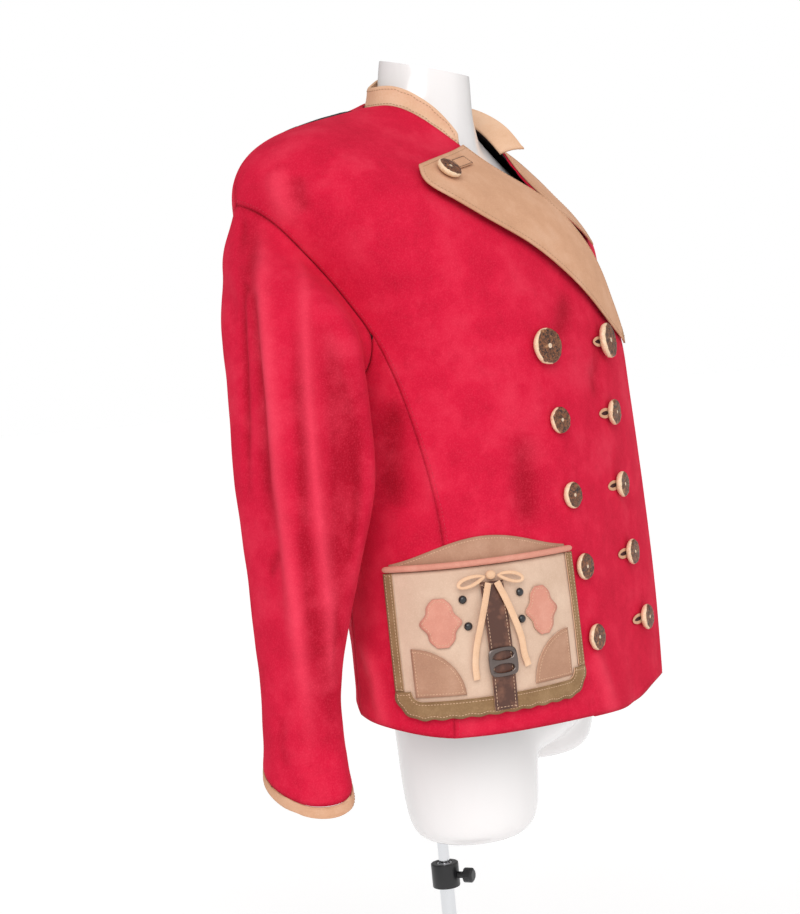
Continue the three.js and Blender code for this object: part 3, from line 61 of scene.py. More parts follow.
camera_data = bpy.data.cameras.new("camera")
camera_data.lens = LENS
camera = placed("camera", camera_data)
ahead = Vector((math.cos(HEADING) * math.cos(DIP), math.sin(HEADING) * math.cos(DIP), -math.sin(DIP)))
across = Vector((math.sin(HEADING), -math.cos(HEADING), 0))
upright = across.cross(ahead)
turn = Matrix((across, upright, -ahead)).transposed() @ Matrix.Rotation(-ROLL, 3, "Z")
camera.matrix_world = Matrix.Translation(EYE) @ turn.to_4x4()
bpy.context.scene.camera = camera
bpy.context.scene.view_settings.view_transform = "Standard"

WALL_WHITE, SKY_LIGHT, FLOOR_GLOW = 1.0, 0.44, 0.26
world = bpy.data.worlds.new("studio")
bpy.context.scene.world = world
world.use_nodes = True
sky = world.node_tree
seen, lit = sky.nodes["Background"], sky.nodes.new("ShaderNodeBackground")
seen.inputs["Color"].default_value = (1, 1, 1, 1)
seen.inputs["Strength"].default_value = WALL_WHITE
lit.inputs["Color"].default_value = (1.0, 0.99, 0.985, 1)
lit.inputs["Strength"].default_value = SKY_LIGHT
rays, either = sky.nodes.new("ShaderNodeLightPath"), sky.nodes.new("ShaderNodeMixShader")
sky.links.new(rays.outputs["Is Camera Ray"], either.inputs[0])
sky.links.new(lit.outputs[0], either.inputs[1])
sky.links.new(seen.outputs[0], either.inputs[2])
sky.links.new(either.outputs[0], sky.nodes["World Output"].inputs["Surface"])


def soft_sun(name, place, power, angle):
    light = bpy.data.lights.new(name, "SUN")
    light.energy, light.angle = power, math.radians(angle)
    lamp = placed(name, light)
    lamp.rotation_euler = (-Vector(place)).to_track_quat("-Z", "Y").to_euler()


soft_sun("key", (-1.20, -0.45, 0.85), 1.75, 45)
soft_sun("fill", (-0.35, -1.30, 0.60), 0.65, 80)


def new_material(name, rough, **sockets):
    material = bpy.data.materials.new(name)
    material.use_nodes = True
    shader = material.node_tree.nodes["Principled BSDF"]
    shader.inputs["Roughness"].default_value = rough
    for socket, value in sockets.items():
        shader.inputs[socket.replace("_", " ")].default_value = value
    return material


def mixed(tree, share, one, other):
    """Mixes two colours by a share. A tuple stands for a plain colour."""
    mix = tree.nodes.new("ShaderNodeMix")
    mix.data_type = "RGBA"
    for socket, value in ((0, share), (6, one), (7, other)):
        if isinstance(value, tuple):
            mix.inputs[socket].default_value = (*value, 1)
        else:
            tree.links.new(value, mix.inputs[socket])
    return mix.outputs[2]


def spread(tree, source, low, high, to_low=0.0, to_high=1.0):
    reach = tree.nodes.new("ShaderNodeMapRange")
    for socket, value in zip(("From Min", "From Max", "To Min", "To Max"), (low, high, to_low, to_high)):
        reach.inputs[socket].default_value = value
    tree.links.new(source, reach.inputs["Value"])
    return reach.outputs["Result"]


def paper_floor():
    material = new_material("paper_floor", 0.9)
    tree = material.node_tree
    grain, place = tree.nodes.new("ShaderNodeTexNoise"), tree.nodes.new("ShaderNodeTexCoord")
    grain.inputs["Scale"].default_value = 3
    tree.links.new(place.outputs["Object"], grain.inputs["Vector"])
    paper = mixed(tree, grain.outputs["Fac"], (0.93, 0.93, 0.93), (0.95, 0.95, 0.95))
    shader = tree.nodes["Principled BSDF"]
    shader.inputs["Emission Color"].default_value = (1, 1, 1, 1)
    shader.inputs["Emission Strength"].default_value = FLOOR_GLOW
    tree.links.new(paper, shader.inputs["Base Color"])
    return material


floor = bmesh.new()
bmesh.ops.create_grid(floor, x_segments=1, y_segments=1, size=60)
floor_mesh = bpy.data.meshes.new("floor")
floor.to_mesh(floor_mesh)
floor_mesh.materials.append(paper_floor())
floor_piece = placed("floor", floor_mesh)


def shown(name, mesh, slot, nodes, *materials):
    """Puts a finished mesh in place as one piece that stands for its nodes."""
    piece = placed(name, mesh)
    for material in materials:
        mesh.materials.append(material)
    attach(piece, "root")
    if nodes:
        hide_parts(*nodes)
    return piece


# ---- Pole stand ----
# A round steel base plate and a telescopic steel pole, all polished chrome. A black
# lacquered collar with a thumb screw clamps the inner tube at its height.
def spun(profile, steps, bevel=0.0006):
    """A turned part: the profile is radius and height, spun round the pole."""
    part = bmesh.new()
    verts = [part.verts.new((radius, 0, height)) for radius, height in profile]
    edges = [part.edges.new(pair) for pair in zip(verts, verts[1:])]
    bmesh.ops.spin(part, geom=verts + edges, axis=(0, 0, 1), cent=(0, 0, 0),
                   steps=steps, angle=2 * math.pi, use_merge=True)
    bmesh.ops.remove_doubles(part, verts=part.verts, dist=1e-6)
    bmesh.ops.recalc_face_normals(part, faces=part.faces)
    rims = [edge for edge in part.edges if len(edge.link_faces) == 2
            and edge.calc_face_angle() > math.radians(35)]
    bmesh.ops.bevel(part, geom=rims, offset=bevel, offset_type="OFFSET", segments=3,
                    profile=0.5, affect="EDGES", material=-1)
    return part


def finish_mesh(name, part, sharp=50):
    mesh = bpy.data.meshes.new(name)
    part.to_mesh(mesh)
    part.free()
    mesh.shade_smooth()
    mesh.set_sharp_from_angle(angle=math.radians(sharp))
    return mesh


chrome = new_material("chrome", 0.12, Base_Color=(0.72, 0.73, 0.75, 1), Metallic=1.0)
lacquer = new_material("black_lacquer", 0.35, Base_Color=(0.012, 0.012, 0.013, 1))
PLATE_RADIUS, PLATE_THICK = 0.170, 0.008
TUBE_BORE, TUBE_RADIUS, INNER_RADIUS = 0.0068, 0.008, 0.006
RING_BORE, RING_RADIUS = 0.0083, 0.015
tube_low, tube_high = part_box("stand_outer_tube")
inner_low, inner_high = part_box("stand_inner_tube")
ring_low, ring_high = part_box("stand_clamp_ring")
plate = spun([(0, 0), (PLATE_RADIUS, 0), (PLATE_RADIUS, PLATE_THICK), (0, PLATE_THICK)], 96, 0.0018)
shown("stand_base_plate", finish_mesh("stand_base_plate", plate), "chrome", ["stand_base"], chrome)
outer = spun([(TUBE_BORE, tube_low[2]), (TUBE_RADIUS, tube_low[2]), (TUBE_RADIUS, tube_high[2]),
              (TUBE_BORE, tube_high[2]), (TUBE_BORE, tube_low[2])], 48, 0.0003)
shown("stand_outer_pole", finish_mesh("stand_outer_pole", outer), "chrome", ["stand_outer_tube"], chrome)
inner = spun([(0, inner_low[2]), (INNER_RADIUS, inner_low[2]), (INNER_RADIUS, inner_high[2]),
              (0, inner_high[2])], 40)
shown("stand_inner_pole", finish_mesh("stand_inner_pole", inner), "chrome", ["stand_inner_tube"], chrome)
ring = spun([(RING_BORE, ring_low[2]), (RING_RADIUS, ring_low[2]), (RING_RADIUS, ring_high[2]),
             (RING_BORE, ring_high[2]), (RING_BORE, ring_low[2])], 48, 0.0012)
shown("stand_clamp_collar", finish_mesh("stand_clamp_collar", ring), "black_steel",
      ["stand_clamp_ring"], lacquer)
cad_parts["stand_clamp_knob"].data.materials[0] = lacquer

# ---- Torso form ----
# A moulded shell in glossy white plastic: a torso with a neck stub, cut off flat and
# aslant, and two short thigh stubs with rounded feet. It stands on the pole.
form_white = new_material("white_form", 0.25, Base_Color=(0.81, 0.785, 0.78, 1), Coat_Weight=0.5,
                          Coat_Roughness=0.1)
form = bmesh.new()
form.from_mesh(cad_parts["form_torso"].data)
bmesh.ops.remove_doubles(form, verts=form.verts, dist=1e-5)
form_mesh = finish_mesh("form_shell", form)
form_piece = placed("form_cast", form_mesh)
cast = form_piece.modifiers.new("cast", "REMESH")
cast.mode, cast.voxel_size = "VOXEL", 0.006
polish = form_piece.modifiers.new("polish", "SMOOTH")
polish.iterations, polish.factor = 14, 0.5
form_mesh = bpy.data.meshes.new_from_object(form_piece.evaluated_get(bpy.context.evaluated_depsgraph_get()))
bpy.data.objects.remove(form_piece)
form = bmesh.new()
form.from_mesh(form_mesh)
NECK_FOOT, NECK_RAISED, NECK_EASE = 1.302, 0.014, 0.035
NECK_CUT, NECK_SLANT = Vector((0, -0.068, 1.352)), Vector((0, -0.29, 0.957))
for vert in form.verts:
    vert.co.z += NECK_RAISED * min(1.0, max(0.0, (vert.co.z - NECK_FOOT) / NECK_EASE))
bmesh.ops.bisect_plane(form, geom=form.verts[:] + form.edges[:] + form.faces[:], plane_co=NECK_CUT,
                       plane_no=NECK_SLANT, clear_outer=True)
cut = [edge for edge in form.edges if edge.is_boundary]
bmesh.ops.remove_doubles(form, verts=list(dict.fromkeys(vert for edge in cut for vert in edge.verts)),
                       dist=0.0012)
bmesh.ops.holes_fill(form, edges=[edge for edge in form.edges if edge.is_boundary], sides=0)
form.to_mesh(form_mesh)
form.free()
form_mesh.shade_smooth()
form_mesh.set_sharp_from_angle(angle=math.radians(40))
shown("form_shell", form_mesh, "white_form", ["form_torso"], form_white)


# ---- Body panels ----
# Right and left front, two side panels and the back, cut from red suede and joined
# by plain seams. The hem is turned up and pressed; the inside is lined in dark satin.
def outer_cloth(node, wall, across=None):
    """The outer face of a sewn piece as an open sheet, without its rim and inner face.

    The rim is the faces with an edge shorter than the wall."""
    cloth = bmesh.new()
    cloth.from_mesh(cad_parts[node].data)
    bmesh.ops.remove_doubles(cloth, verts=cloth.verts, dist=1e-5)
    rim = [face for face in cloth.faces if min(edge.calc_length() for edge in face.edges) < wall]
    bmesh.ops.delete(cloth, geom=rim, context="FACES")
    islands, left = [], set(cloth.faces)
    while left:
        found, front = set(), [next(iter(left))]
        while front:
            face = front.pop()
            if face in left:
                left.discard(face)
                found.add(face)
                front += [other for edge in face.edges for other in edge.link_faces]
        islands.append(found)
    islands = sorted(islands, key=len)[-2:]

    def outward(faces):
        total = 0.0
        for face in faces:
            spot = face.calc_center_median()
            away = spot - (across or Vector((0, -0.09, min(spot.z, 1.12))))
            if across:
                away.z = 0
            total += face.normal.dot(away) * face.calc_area()
        return total

    keep = max(islands, key=outward)
    bmesh.ops.delete(cloth, geom=[face for face in cloth.faces if face not in keep], context="FACES")
    bmesh.ops.join_triangles(cloth, faces=cloth.faces, angle_face_threshold=math.radians(60),
                             angle_shape_threshold=math.radians(120))
    return cloth


def rounded(name, cloth, levels):
    """The sheet with its facets rounded off by subdivision."""
    mesh = bpy.data.meshes.new(name)
    cloth.to_mesh(mesh)
    cloth.free()
    carrier = placed(name, mesh)
    soften = carrier.modifiers.new("soften", "SUBSURF")
    soften.levels = soften.render_levels = levels
    soften.boundary_smooth = "PRESERVE_CORNERS"
    soft = bpy.data.meshes.new_from_object(carrier.evaluated_get(bpy.context.evaluated_depsgraph_get()))
    bpy.data.objects.remove(carrier)
    bpy.data.meshes.remove(mesh)
    soft.name = name
    soft.shade_smooth()
    return soft


def vectors(mesh, what="co"):
    values = np.empty(3 * len(mesh.vertices))
    rows, field = (mesh.vertices, "co") if what == "co" else (mesh.vertex_normals, "vector")
    rows.foreach_get(field, values)
    return values.reshape(-1, 3)


def from_line(spots, line):
    """Distance of each spot from a line of points, and how far along it, from 0 to 1."""
    line = np.array(line, float)
    steps = np.linalg.norm(np.diff(line, axis=0), axis=1)
    ends = np.concatenate([[0], np.cumsum(steps)])
    best, along = np.full(len(spots), 9.0), np.zeros(len(spots))
    for i, (one, other) in enumerate(zip(line, line[1:])):
        reach = other - one
        share = np.clip(((spots - one) @ reach) / (reach @ reach), 0, 1)
        gap = np.linalg.norm(spots - one - share[:, None] * reach, axis=1)
        near = gap < best
        best[near] = gap[near]
        along[near] = (ends[i] + share[near] * steps[i]) / ends[-1]
    return best, along


def edge_rings(sheet):
    """The open edges of a sheet, each as its corners in order."""
    left, rings = dict.fromkeys(edge for edge in sheet.edges if edge.is_boundary), []
    while left:
        edge = next(iter(left))
        del left[edge]
        vert = edge.verts[0]
        ring = [edge.verts[1], vert]
        while onward := [other for other in vert.link_edges if other in left]:
            del left[onward[0]]
            vert = onward[0].other_vert(vert)
            ring.append(vert)
        rings.append(ring)
    return rings


def edge_lines(mesh):
    sheet = bmesh.new()
    sheet.from_mesh(mesh)
    lines = [([vert.index for vert in ring], np.array([vert.co for vert in ring]))
             for ring in edge_rings(sheet)]
    sheet.free()
    return lines


# The jacket's weight eases the cloth a little: where, how widely and how far it moves.
EASED = (
    ((-0.210, -0.020, 1.245), 0.050, (0, 0, 0.008)),
    ((0.210, -0.020, 1.245), 0.050, (0, 0, 0.008)),
    ((-0.275, 0.040, 1.160), 0.055, (-0.0035, 0.0070, 0)),
    ((0.155, -0.160, 1.160), 0.040, (0.0050, -0.0080, 0)),
    ((-0.300, 0.040, 0.960), 0.060, (-0.002, 0.0045, 0)),
)


def eased(mesh):
    spots = vectors(mesh)
    moved = spots.copy()
    for centre, reach, move in EASED:
        share = np.exp(-(np.linalg.norm(spots - centre, axis=1) / reach) ** 2)
        moved += share[:, None] * np.array(move)
    mesh.vertices.foreach_set("co", moved.ravel())
    mesh.update()


SEWN_WITHIN = 0.0030


def sewn(meshes):
    """Draws the edges that are sewn together onto one line between them."""
    lines = {name: edge_lines(mesh) for name, mesh in meshes.items()}
    moves = {}
    for name in meshes:
        for indices, spots in lines[name]:
            best, target = np.full(len(spots), SEWN_WITHIN), spots.copy()
            for other in meshes:
                for _, line in lines[other] if other != name else ():
                    closed = np.vstack([line, line[:1]])
                    for one, two in zip(closed, closed[1:]):
                        reach = two - one
                        share = np.clip((spots - one) @ reach / max(reach @ reach, 1e-12), 0, 1)
                        foot = one + share[:, None] * reach
                        gap = np.linalg.norm(spots - foot, axis=1)
                        near = gap < best
                        best[near], target[near] = gap[near], foot[near]
            moves.setdefault(name, []).append((indices, (spots + target) / 2))
    for name, rows in moves.items():
        for indices, spots in rows:
            for index, spot in zip(indices, spots):
                meshes[name].vertices[index].co = spot
        meshes[name].update()


def store(mesh, name, values):
    layer = mesh.attributes.get(name) or mesh.attributes.new(name, "FLOAT", "POINT")
    layer.data.foreach_set("value", np.asarray(values, np.float32))


def worked(mesh, folds=(), swell=0.0012, swell_size=0.075, seed=0.0, seam=0.0035, sink=0.0008):
    """Given folds, a slow swell of the cloth and a roll beside its sewn edge.

    A fold is (height, width, line). Valleys and sewn edges are kept for painted shade, ridges to be paler."""
    spots, normals = vectors(mesh), vectors(mesh, "normal")
    lift, ridge_pale, shade = np.zeros(len(spots)), np.zeros(len(spots)), np.zeros(len(spots))
    for height, width, line in folds:
        gap, along = from_line(spots, line)
        fade = np.clip(np.minimum(along, 1 - along) * 5, 0, 1) ** 0.7
        shape = np.exp(-(gap / width) ** 2) * fade
        lift += height * shape
        # Valleys get painted shade and ridges a paler colour, in step with the fold height.
        (ridge_pale if height > 0 else shade)[:] += shape * min(1.0, abs(height) / 0.003)
    if swell:
        lift += [swell * (noise.noise(Vector(spot) / swell_size + Vector((seed, 0, 0)))
                          + 0.4 * noise.noise(Vector(spot) / (0.4 * swell_size))) for spot in spots]
    edges = np.vstack([line for _, line in edge_lines(mesh)])
    tree = KDTree(len(edges))
    for i, point in enumerate(edges):
        tree.insert(point, i)
    tree.balance()
    gap = np.array([tree.find(spot)[2] for spot in spots])
    near = np.exp(-(gap / seam) ** 2)
    lift = lift * np.clip(gap / 0.02, 0, 1) + sink * (gap / seam) * np.exp(1 - gap / seam)
    mesh.vertices.foreach_set("co", (spots + normals * lift[:, None]).ravel())
    store(mesh, "ridge_pale", np.clip(ridge_pale, 0, 1))
    # Painted shade at half strength along the sewn edge.
    store(mesh, "shade", np.clip(shade + 0.5 * near, 0, 1))
    mesh.update()
    return mesh


def walled(piece, thick, lining=False, rim=0):
    wall = piece.modifiers.new("thickness", "SOLIDIFY")
    wall.thickness, wall.offset = thick, -1
    wall.material_offset, wall.material_offset_rim = int(lining), rim
    return piece


def nap_group():
    """Suede: cloudy patches where the nap lies the other way, a short fine grain, painted shade and paler
    ridges.
    """
    group = bpy.data.node_groups.new("suede_nap", "ShaderNodeTree")
    face = group.interface
    for name, kind in [("Colour", "NodeSocketColor"), ("Shade", "NodeSocketColor"),
                       ("Light", "NodeSocketColor"), ("Patch Scale", "NodeSocketFloat"),
                       ("Grain Scale", "NodeSocketFloat"), ("Ridge Pale", "NodeSocketFloat"),
                       ("Painted Shade", "NodeSocketFloat")]:
        face.new_socket(name, in_out="INPUT", socket_type=kind)
    for name, kind in [("Colour", "NodeSocketColor"), ("Roughness", "NodeSocketFloat"),
                       ("Height", "NodeSocketFloat")]:
        face.new_socket(name, in_out="OUTPUT", socket_type=kind)
    nodes, links = group.nodes, group.links
    entry, leave = nodes.new("NodeGroupInput"), nodes.new("NodeGroupOutput")
    place = nodes.new("ShaderNodeTexCoord")

    def cloud(scale, detail, rough, times=1.0):
        times_scale = nodes.new("ShaderNodeMath")
        times_scale.operation = "MULTIPLY"
        times_scale.inputs[1].default_value = times
        links.new(entry.outputs[scale], times_scale.inputs[0])
        made = nodes.new("ShaderNodeTexNoise")
        made.inputs["Detail"].default_value = detail
        made.inputs["Roughness"].default_value = rough
        links.new(place.outputs["Object"], made.inputs["Vector"])
        links.new(times_scale.outputs[0], made.inputs["Scale"])
        return made.outputs["Fac"]

    def added(one, other):
        total = nodes.new("ShaderNodeMath")
        total.operation, total.use_clamp = "ADD", True
        links.new(one, total.inputs[0])
        links.new(other, total.inputs[1])
        return total.outputs[0]

    patch = cloud("Patch Scale", 5, 0.6)
    streak = cloud("Patch Scale", 4, 0.65, 3.5)
    grain = cloud("Grain Scale", 4, 0.7)
    dark = added(spread(group, patch, 0.46, 0.74, 0, 0.40), spread(group, streak, 0.5, 0.78, 0, 0.26))
    # Painted shade from the mesh's shade mask, mixed towards the shade colour.
    dark = added(dark, spread(group, entry.outputs["Painted Shade"], 0, 1, 0, 0.85))
    shaded = mixed(group, dark, entry.outputs["Colour"], entry.outputs["Shade"])
    pale = added(spread(group, grain, 0.47, 0.72, 0, 0.35), spread(group, patch, 0.5, 0.3, 0, 0.3))
    # Paler along fold ridges, from the ridge mask.
    pale = added(pale, spread(group, entry.outputs["Ridge Pale"], 0, 1, 0, 0.6))
    links.new(mixed(group, pale, shaded, entry.outputs["Light"]), leave.inputs["Colour"])
    links.new(spread(group, patch, 0.3, 0.7, 0.8, 0.97), leave.inputs["Roughness"])
    links.new(grain, leave.inputs["Height"])
    return group


nap = nap_group()


def suede(name, colour, shade, light, patch=22, grain=700, bump=0.3, sheen=0.25):
    material = new_material(name, 0.9)
    tree = material.node_tree
    shader = tree.nodes["Principled BSDF"]
    shader.inputs["Specular IOR Level"].default_value = 0.12
    shader.inputs["Sheen Weight"].default_value = sheen
    shader.inputs["Sheen Roughness"].default_value = 0.4
    shader.inputs["Sheen Tint"].default_value = (*light, 1)
    cloth = tree.nodes.new("ShaderNodeGroup")
    cloth.node_tree = nap
    for socket, value in (("Colour", colour), ("Shade", shade), ("Light", light)):
        cloth.inputs[socket].default_value = (*value, 1)
    cloth.inputs["Patch Scale"].default_value = patch
    cloth.inputs["Grain Scale"].default_value = grain
    # Masks from the mesh: painted shade in valleys and at sewn edges, and paler fold ridges.
    for layer, socket in (("ridge_pale", "Ridge Pale"), ("shade", "Painted Shade")):
        kept = tree.nodes.new("ShaderNodeAttribute")
        kept.attribute_name = layer
        tree.links.new(kept.outputs["Fac"], cloth.inputs[socket])
    relief = tree.nodes.new("ShaderNodeBump")
    relief.inputs["Strength"].default_value = bump
    relief.inputs["Distance"].default_value = 0.0004
    tree.links.new(cloth.outputs["Colour"], shader.inputs["Base Color"])
    tree.links.new(cloth.outputs["Roughness"], shader.inputs["Roughness"])
    tree.links.new(cloth.outputs["Height"], relief.inputs["Height"])
    tree.links.new(relief.outputs["Normal"], shader.inputs["Normal"])
    return material


red_suede = suede("red_suede", (0.60, 0.008, 0.040), (0.36, 0.003, 0.018), (0.76, 0.050, 0.095))
lining = new_material("dark_satin_lining", 0.4, Base_Color=(0.035, 0.024, 0.026, 1))
JACKET_WALL, SUEDE_THICK = 0.0021, 0.0018
# Folds with a negative height are valleys that are also darkened with painted shade; ridges are coloured
# paler.
BODY_FOLDS = {
    "front_right": [
        (0.0030, 0.012, ((-0.238, -0.019, 1.186), (-0.244, -0.014, 1.211), (-0.237, -0.009, 1.241))),
        (-0.0025, 0.010, ((-0.240, -0.035, 1.195), (-0.242, -0.032, 1.214), (-0.240, -0.032, 1.233))),
        (-0.0030, 0.016, (
            (-0.145, -0.202, 0.971), (-0.151, -0.201, 0.943), (-0.155, -0.200, 0.905),
            (-0.156, -0.202, 0.876))),
        (-0.0032, 0.013, (
            (-0.055, -0.222, 1.100), (-0.062, -0.221, 1.085), (-0.074, -0.219, 1.074),
            (-0.090, -0.219, 1.050))),
        (-0.0028, 0.011, ((-0.006, -0.230, 1.046), (-0.033, -0.230, 1.017), (-0.034, -0.230, 0.992))),
        (0.0045, 0.012, (
            (-0.066, -0.231, 0.670), (-0.071, -0.230, 0.687), (-0.076, -0.228, 0.706),
            (-0.083, -0.226, 0.727), (-0.089, -0.224, 0.748))),
    ],
    "front_left": [],
    "side_right": [
        (-0.0030, 0.014, (
            (-0.210, -0.095, 1.017), (-0.213, -0.092, 0.984), (-0.218, -0.089, 0.947),
            (-0.224, -0.089, 0.909))),
        (0.0035, 0.008, (
            (-0.224, -0.041, 0.785), (-0.233, -0.056, 0.765), (-0.236, -0.061, 0.750),
            (-0.238, -0.063, 0.727), (-0.241, -0.070, 0.695))),
    ],
    "side_left": [],
    "back": [
        (0.004, 0.02, ((-0.12, 0.075, 0.70), (-0.11, 0.078, 0.80), (-0.10, 0.078, 0.92))),
        (-0.004, 0.02, ((-0.05, 0.078, 0.70), (-0.05, 0.078, 0.82), (-0.06, 0.078, 0.95))),
        (0.004, 0.02, ((0.09, 0.075, 0.70), (0.085, 0.078, 0.82), (0.08, 0.078, 0.94))),
    ],
}
SLEEVE_MIDDLE = 0.285
HALVES = (("right", -1), ("left", 1))
red_cuts = {panel: rounded(panel + "_suede", outer_cloth(panel, JACKET_WALL), 3) for panel in BODY_FOLDS}
for half, side in HALVES:
    cloth = outer_cloth(f"sleeve_{half}", JACKET_WALL, Vector((side * SLEEVE_MIDDLE, -0.03, 0)))
    red_cuts[f"sleeve_{half}"] = rounded(f"sleeve_{half}_suede", cloth, 3)
for mesh in red_cuts.values():
    eased(mesh)
sewn(red_cuts)
sheets = {}
for panel, folds in BODY_FOLDS.items():
    mesh = worked(red_cuts[panel], folds, swell=0.0016, seed=3.7)
    piece = shown(mesh.name, mesh, "red_suede", [panel], red_suede, lining)
    sheets[panel] = walled(piece, SUEDE_THICK, lining=True)

# ---- Sleeves ----
# Two-piece sleeves in the same red suede, set into the armholes. They hang flat, so
# the back seam and long creases run down from the sleeve head.
# Folds with a negative height are valleys that are also darkened with painted shade; ridges are coloured
# paler.
SLEEVE_FOLDS = (
    (-0.0038, 0.0045, (
        (-0.238, 0.030, 1.209), (-0.259, 0.022, 1.177), (-0.295, 0.005, 1.128), (-0.293, 0.011, 1.082),
        (-0.294, 0.015, 1.026), (-0.298, 0.017, 0.980), (-0.302, 0.017, 0.933))),
    (0.0040, 0.008, (
        (-0.242, 0.009, 1.198), (-0.280, -0.008, 1.155), (-0.302, -0.017, 1.116), (-0.306, -0.018, 1.070),
        (-0.309, -0.020, 1.015), (-0.314, -0.022, 0.951), (-0.321, -0.027, 0.896),
        (-0.325, -0.031, 0.841), (-0.325, -0.032, 0.795), (-0.321, -0.031, 0.748), (-0.320, -0.030, 0.692))),
    (-0.0045, 0.008, (
        (-0.243, 0.018, 1.201), (-0.280, 0.002, 1.155), (-0.302, -0.006, 1.117), (-0.304, -0.005, 1.071),
        (-0.305, -0.005, 1.016), (-0.308, -0.006, 0.951), (-0.316, -0.011, 0.896))),
    (0.0042, 0.007, (
        (-0.237, -0.025, 1.161), (-0.286, -0.052, 1.113), (-0.293, -0.052, 1.067),
        (-0.299, -0.052, 1.012), (-0.307, -0.056, 0.948), (-0.309, -0.058, 0.893),
        (-0.310, -0.059, 0.838), (-0.307, -0.057, 0.791), (-0.299, -0.052, 0.753))),
    (-0.0065, 0.012, (
        (-0.288, -0.069, 1.092), (-0.288, -0.074, 1.055), (-0.291, -0.076, 1.009),
        (-0.295, -0.080, 0.964), (-0.300, -0.081, 0.909), (-0.303, -0.076, 0.864))),
    (-0.0070, 0.020, (
        (-0.274, -0.090, 1.063), (-0.281, -0.091, 1.026), (-0.288, -0.089, 0.990),
        (-0.295, -0.085, 0.954), (-0.299, -0.081, 0.918), (-0.303, -0.074, 0.882),
        (-0.306, -0.068, 0.846), (-0.307, -0.060, 0.810), (-0.306, -0.053, 0.773),
        (-0.304, -0.048, 0.735), (-0.302, -0.045, 0.690))),
    (-0.0030, 0.007, (
        (-0.296, -0.046, 1.086), (-0.300, -0.046, 1.049), (-0.304, -0.046, 1.013),
        (-0.309, -0.047, 0.976), (-0.314, -0.046, 0.940), (-0.317, -0.045, 0.904),
        (-0.319, -0.045, 0.867), (-0.318, -0.044, 0.821), (-0.315, -0.044, 0.774))),
    (-0.0022, 0.006, ((-0.319, -0.018, 0.887), (-0.318, -0.011, 0.876), (-0.317, -0.002, 0.863))),
    (-0.0012, 0.006, ((-0.324, -0.006, 0.684), (-0.323, -0.000, 0.707), (-0.324, -0.006, 0.735))),
)
for half, side in HALVES:
    folds = [(height, width, [(-side * x, y, z) for x, y, z in line]) for height, width, line in SLEEVE_FOLDS]
    mesh = worked(red_cuts[f"sleeve_{half}"], folds, swell=0.0012, seed=5.1 * side)
    piece = shown(mesh.name, mesh, "red_suede", [f"sleeve_{half}"], red_suede, lining)
    sheets[f"sleeve_{half}"] = walled(piece, SUEDE_THICK, lining=True)

# ---- Cuff bindings ----
# A strip of tan suede folded round each sleeve end.
tan_suede = suede("tan_suede", (0.60, 0.33, 0.20), (0.48, 0.25, 0.145), (0.72, 0.46, 0.32), patch=30)
for half, side in HALVES:
    cloth = outer_cloth(f"cuff_binding_{half}", 0.0034, Vector((side * SLEEVE_MIDDLE, -0.03, 0)))
    mesh = worked(rounded(f"cuff_{half}_band", cloth, 3), swell=0.0003, seam=0.002, sink=0.0005)
    sheets[f"cuff_binding_{half}"] = walled(
        shown(mesh.name, mesh, "tan_suede", [f"cuff_binding_{half}"], tan_suede), 0.003)

# ---- Collar ----
# A stand collar in light tan suede on a stiff interlining, sewn to the neck edge and
# stitched round a few millimetres in from its edge.
collar_suede = suede("collar_suede", (0.72, 0.45, 0.29), (0.60, 0.35, 0.21), (0.82, 0.6, 0.44), patch=30)
cloth = outer_cloth("collar", 0.0028)
TIP_INSIDE, TIP_OUTSIDE, STRAY = (Vector(spot) for spot in (
    (0.0690, -0.1403, 1.2623), (0.0706, -0.1424, 1.2623), (0.0818, -0.1210, 1.2881)))
tip, stray = (min(cloth.verts, key=lambda vert: (vert.co - spot).length) for spot in (TIP_INSIDE, STRAY))
tip.co = TIP_OUTSIDE
bmesh.ops.delete(cloth, geom=[stray], context="VERTS")
mesh = worked(rounded("collar_band", cloth, 4), swell=0.0006, seam=0.0022, sink=0.0006)
sheets["collar"] = walled(shown("collar_band", mesh, "collar_suede", ["collar"], collar_suede), 0.0024)

# ---- Lapels ----
# The fronts are faced with tan suede and turned back, so the facing shows as a lapel.
for half, side in HALVES:
    cloth = outer_cloth(f"lapel_{half}", JACKET_WALL)
    mesh = worked(rounded(f"lapel_{half}_facing", cloth, 4), swell=0.0006, seam=0.0022, sink=0.0006)
    sheets[f"lapel_{half}"] = walled(
        shown(mesh.name, mesh, "tan_suede", [f"lapel_{half}"], tan_suede), 0.0017)


# The edges of collar and lapels are stitched round with a twisted buttonhole thread.
def inset_line(mesh, inset, step):
    """Spots and normals on a sheet, a fixed distance in from its open edge."""
    sheet = bmesh.new()
    sheet.from_mesh(mesh)
    sheet.normal_update()
    tree = BVHTree.FromBMesh(sheet)
    rows = []
    for ring in edge_rings(sheet):
        line = []
        for i, vert in enumerate(ring):
            along = (ring[(i + 1) % len(ring)].co - ring[i - 1].co).normalized()
            middles = [face.calc_center_median() for face in vert.link_faces]
            middle = sum(middles, Vector()) / len(middles)
            inward = vert.normal.cross(along).normalized()
            if inward.dot(middle - vert.co) < 0:
                inward.negate()
            line.append(vert.co + inward * inset)
        rows.append(line)
    spaced_rows = []
    for line in rows:
        spots, gone = [], 0.0
        for one, other in zip(line, line[1:] + line[:1]):
            reach = (other - one).length
            while gone < reach:
                found = tree.find_nearest(one.lerp(other, gone / reach))
                spots.append((found[0], found[1]))
                gone += step
            gone -= reach
        spaced_rows.append(spots)
    sheet.free()
    return spaced_rows


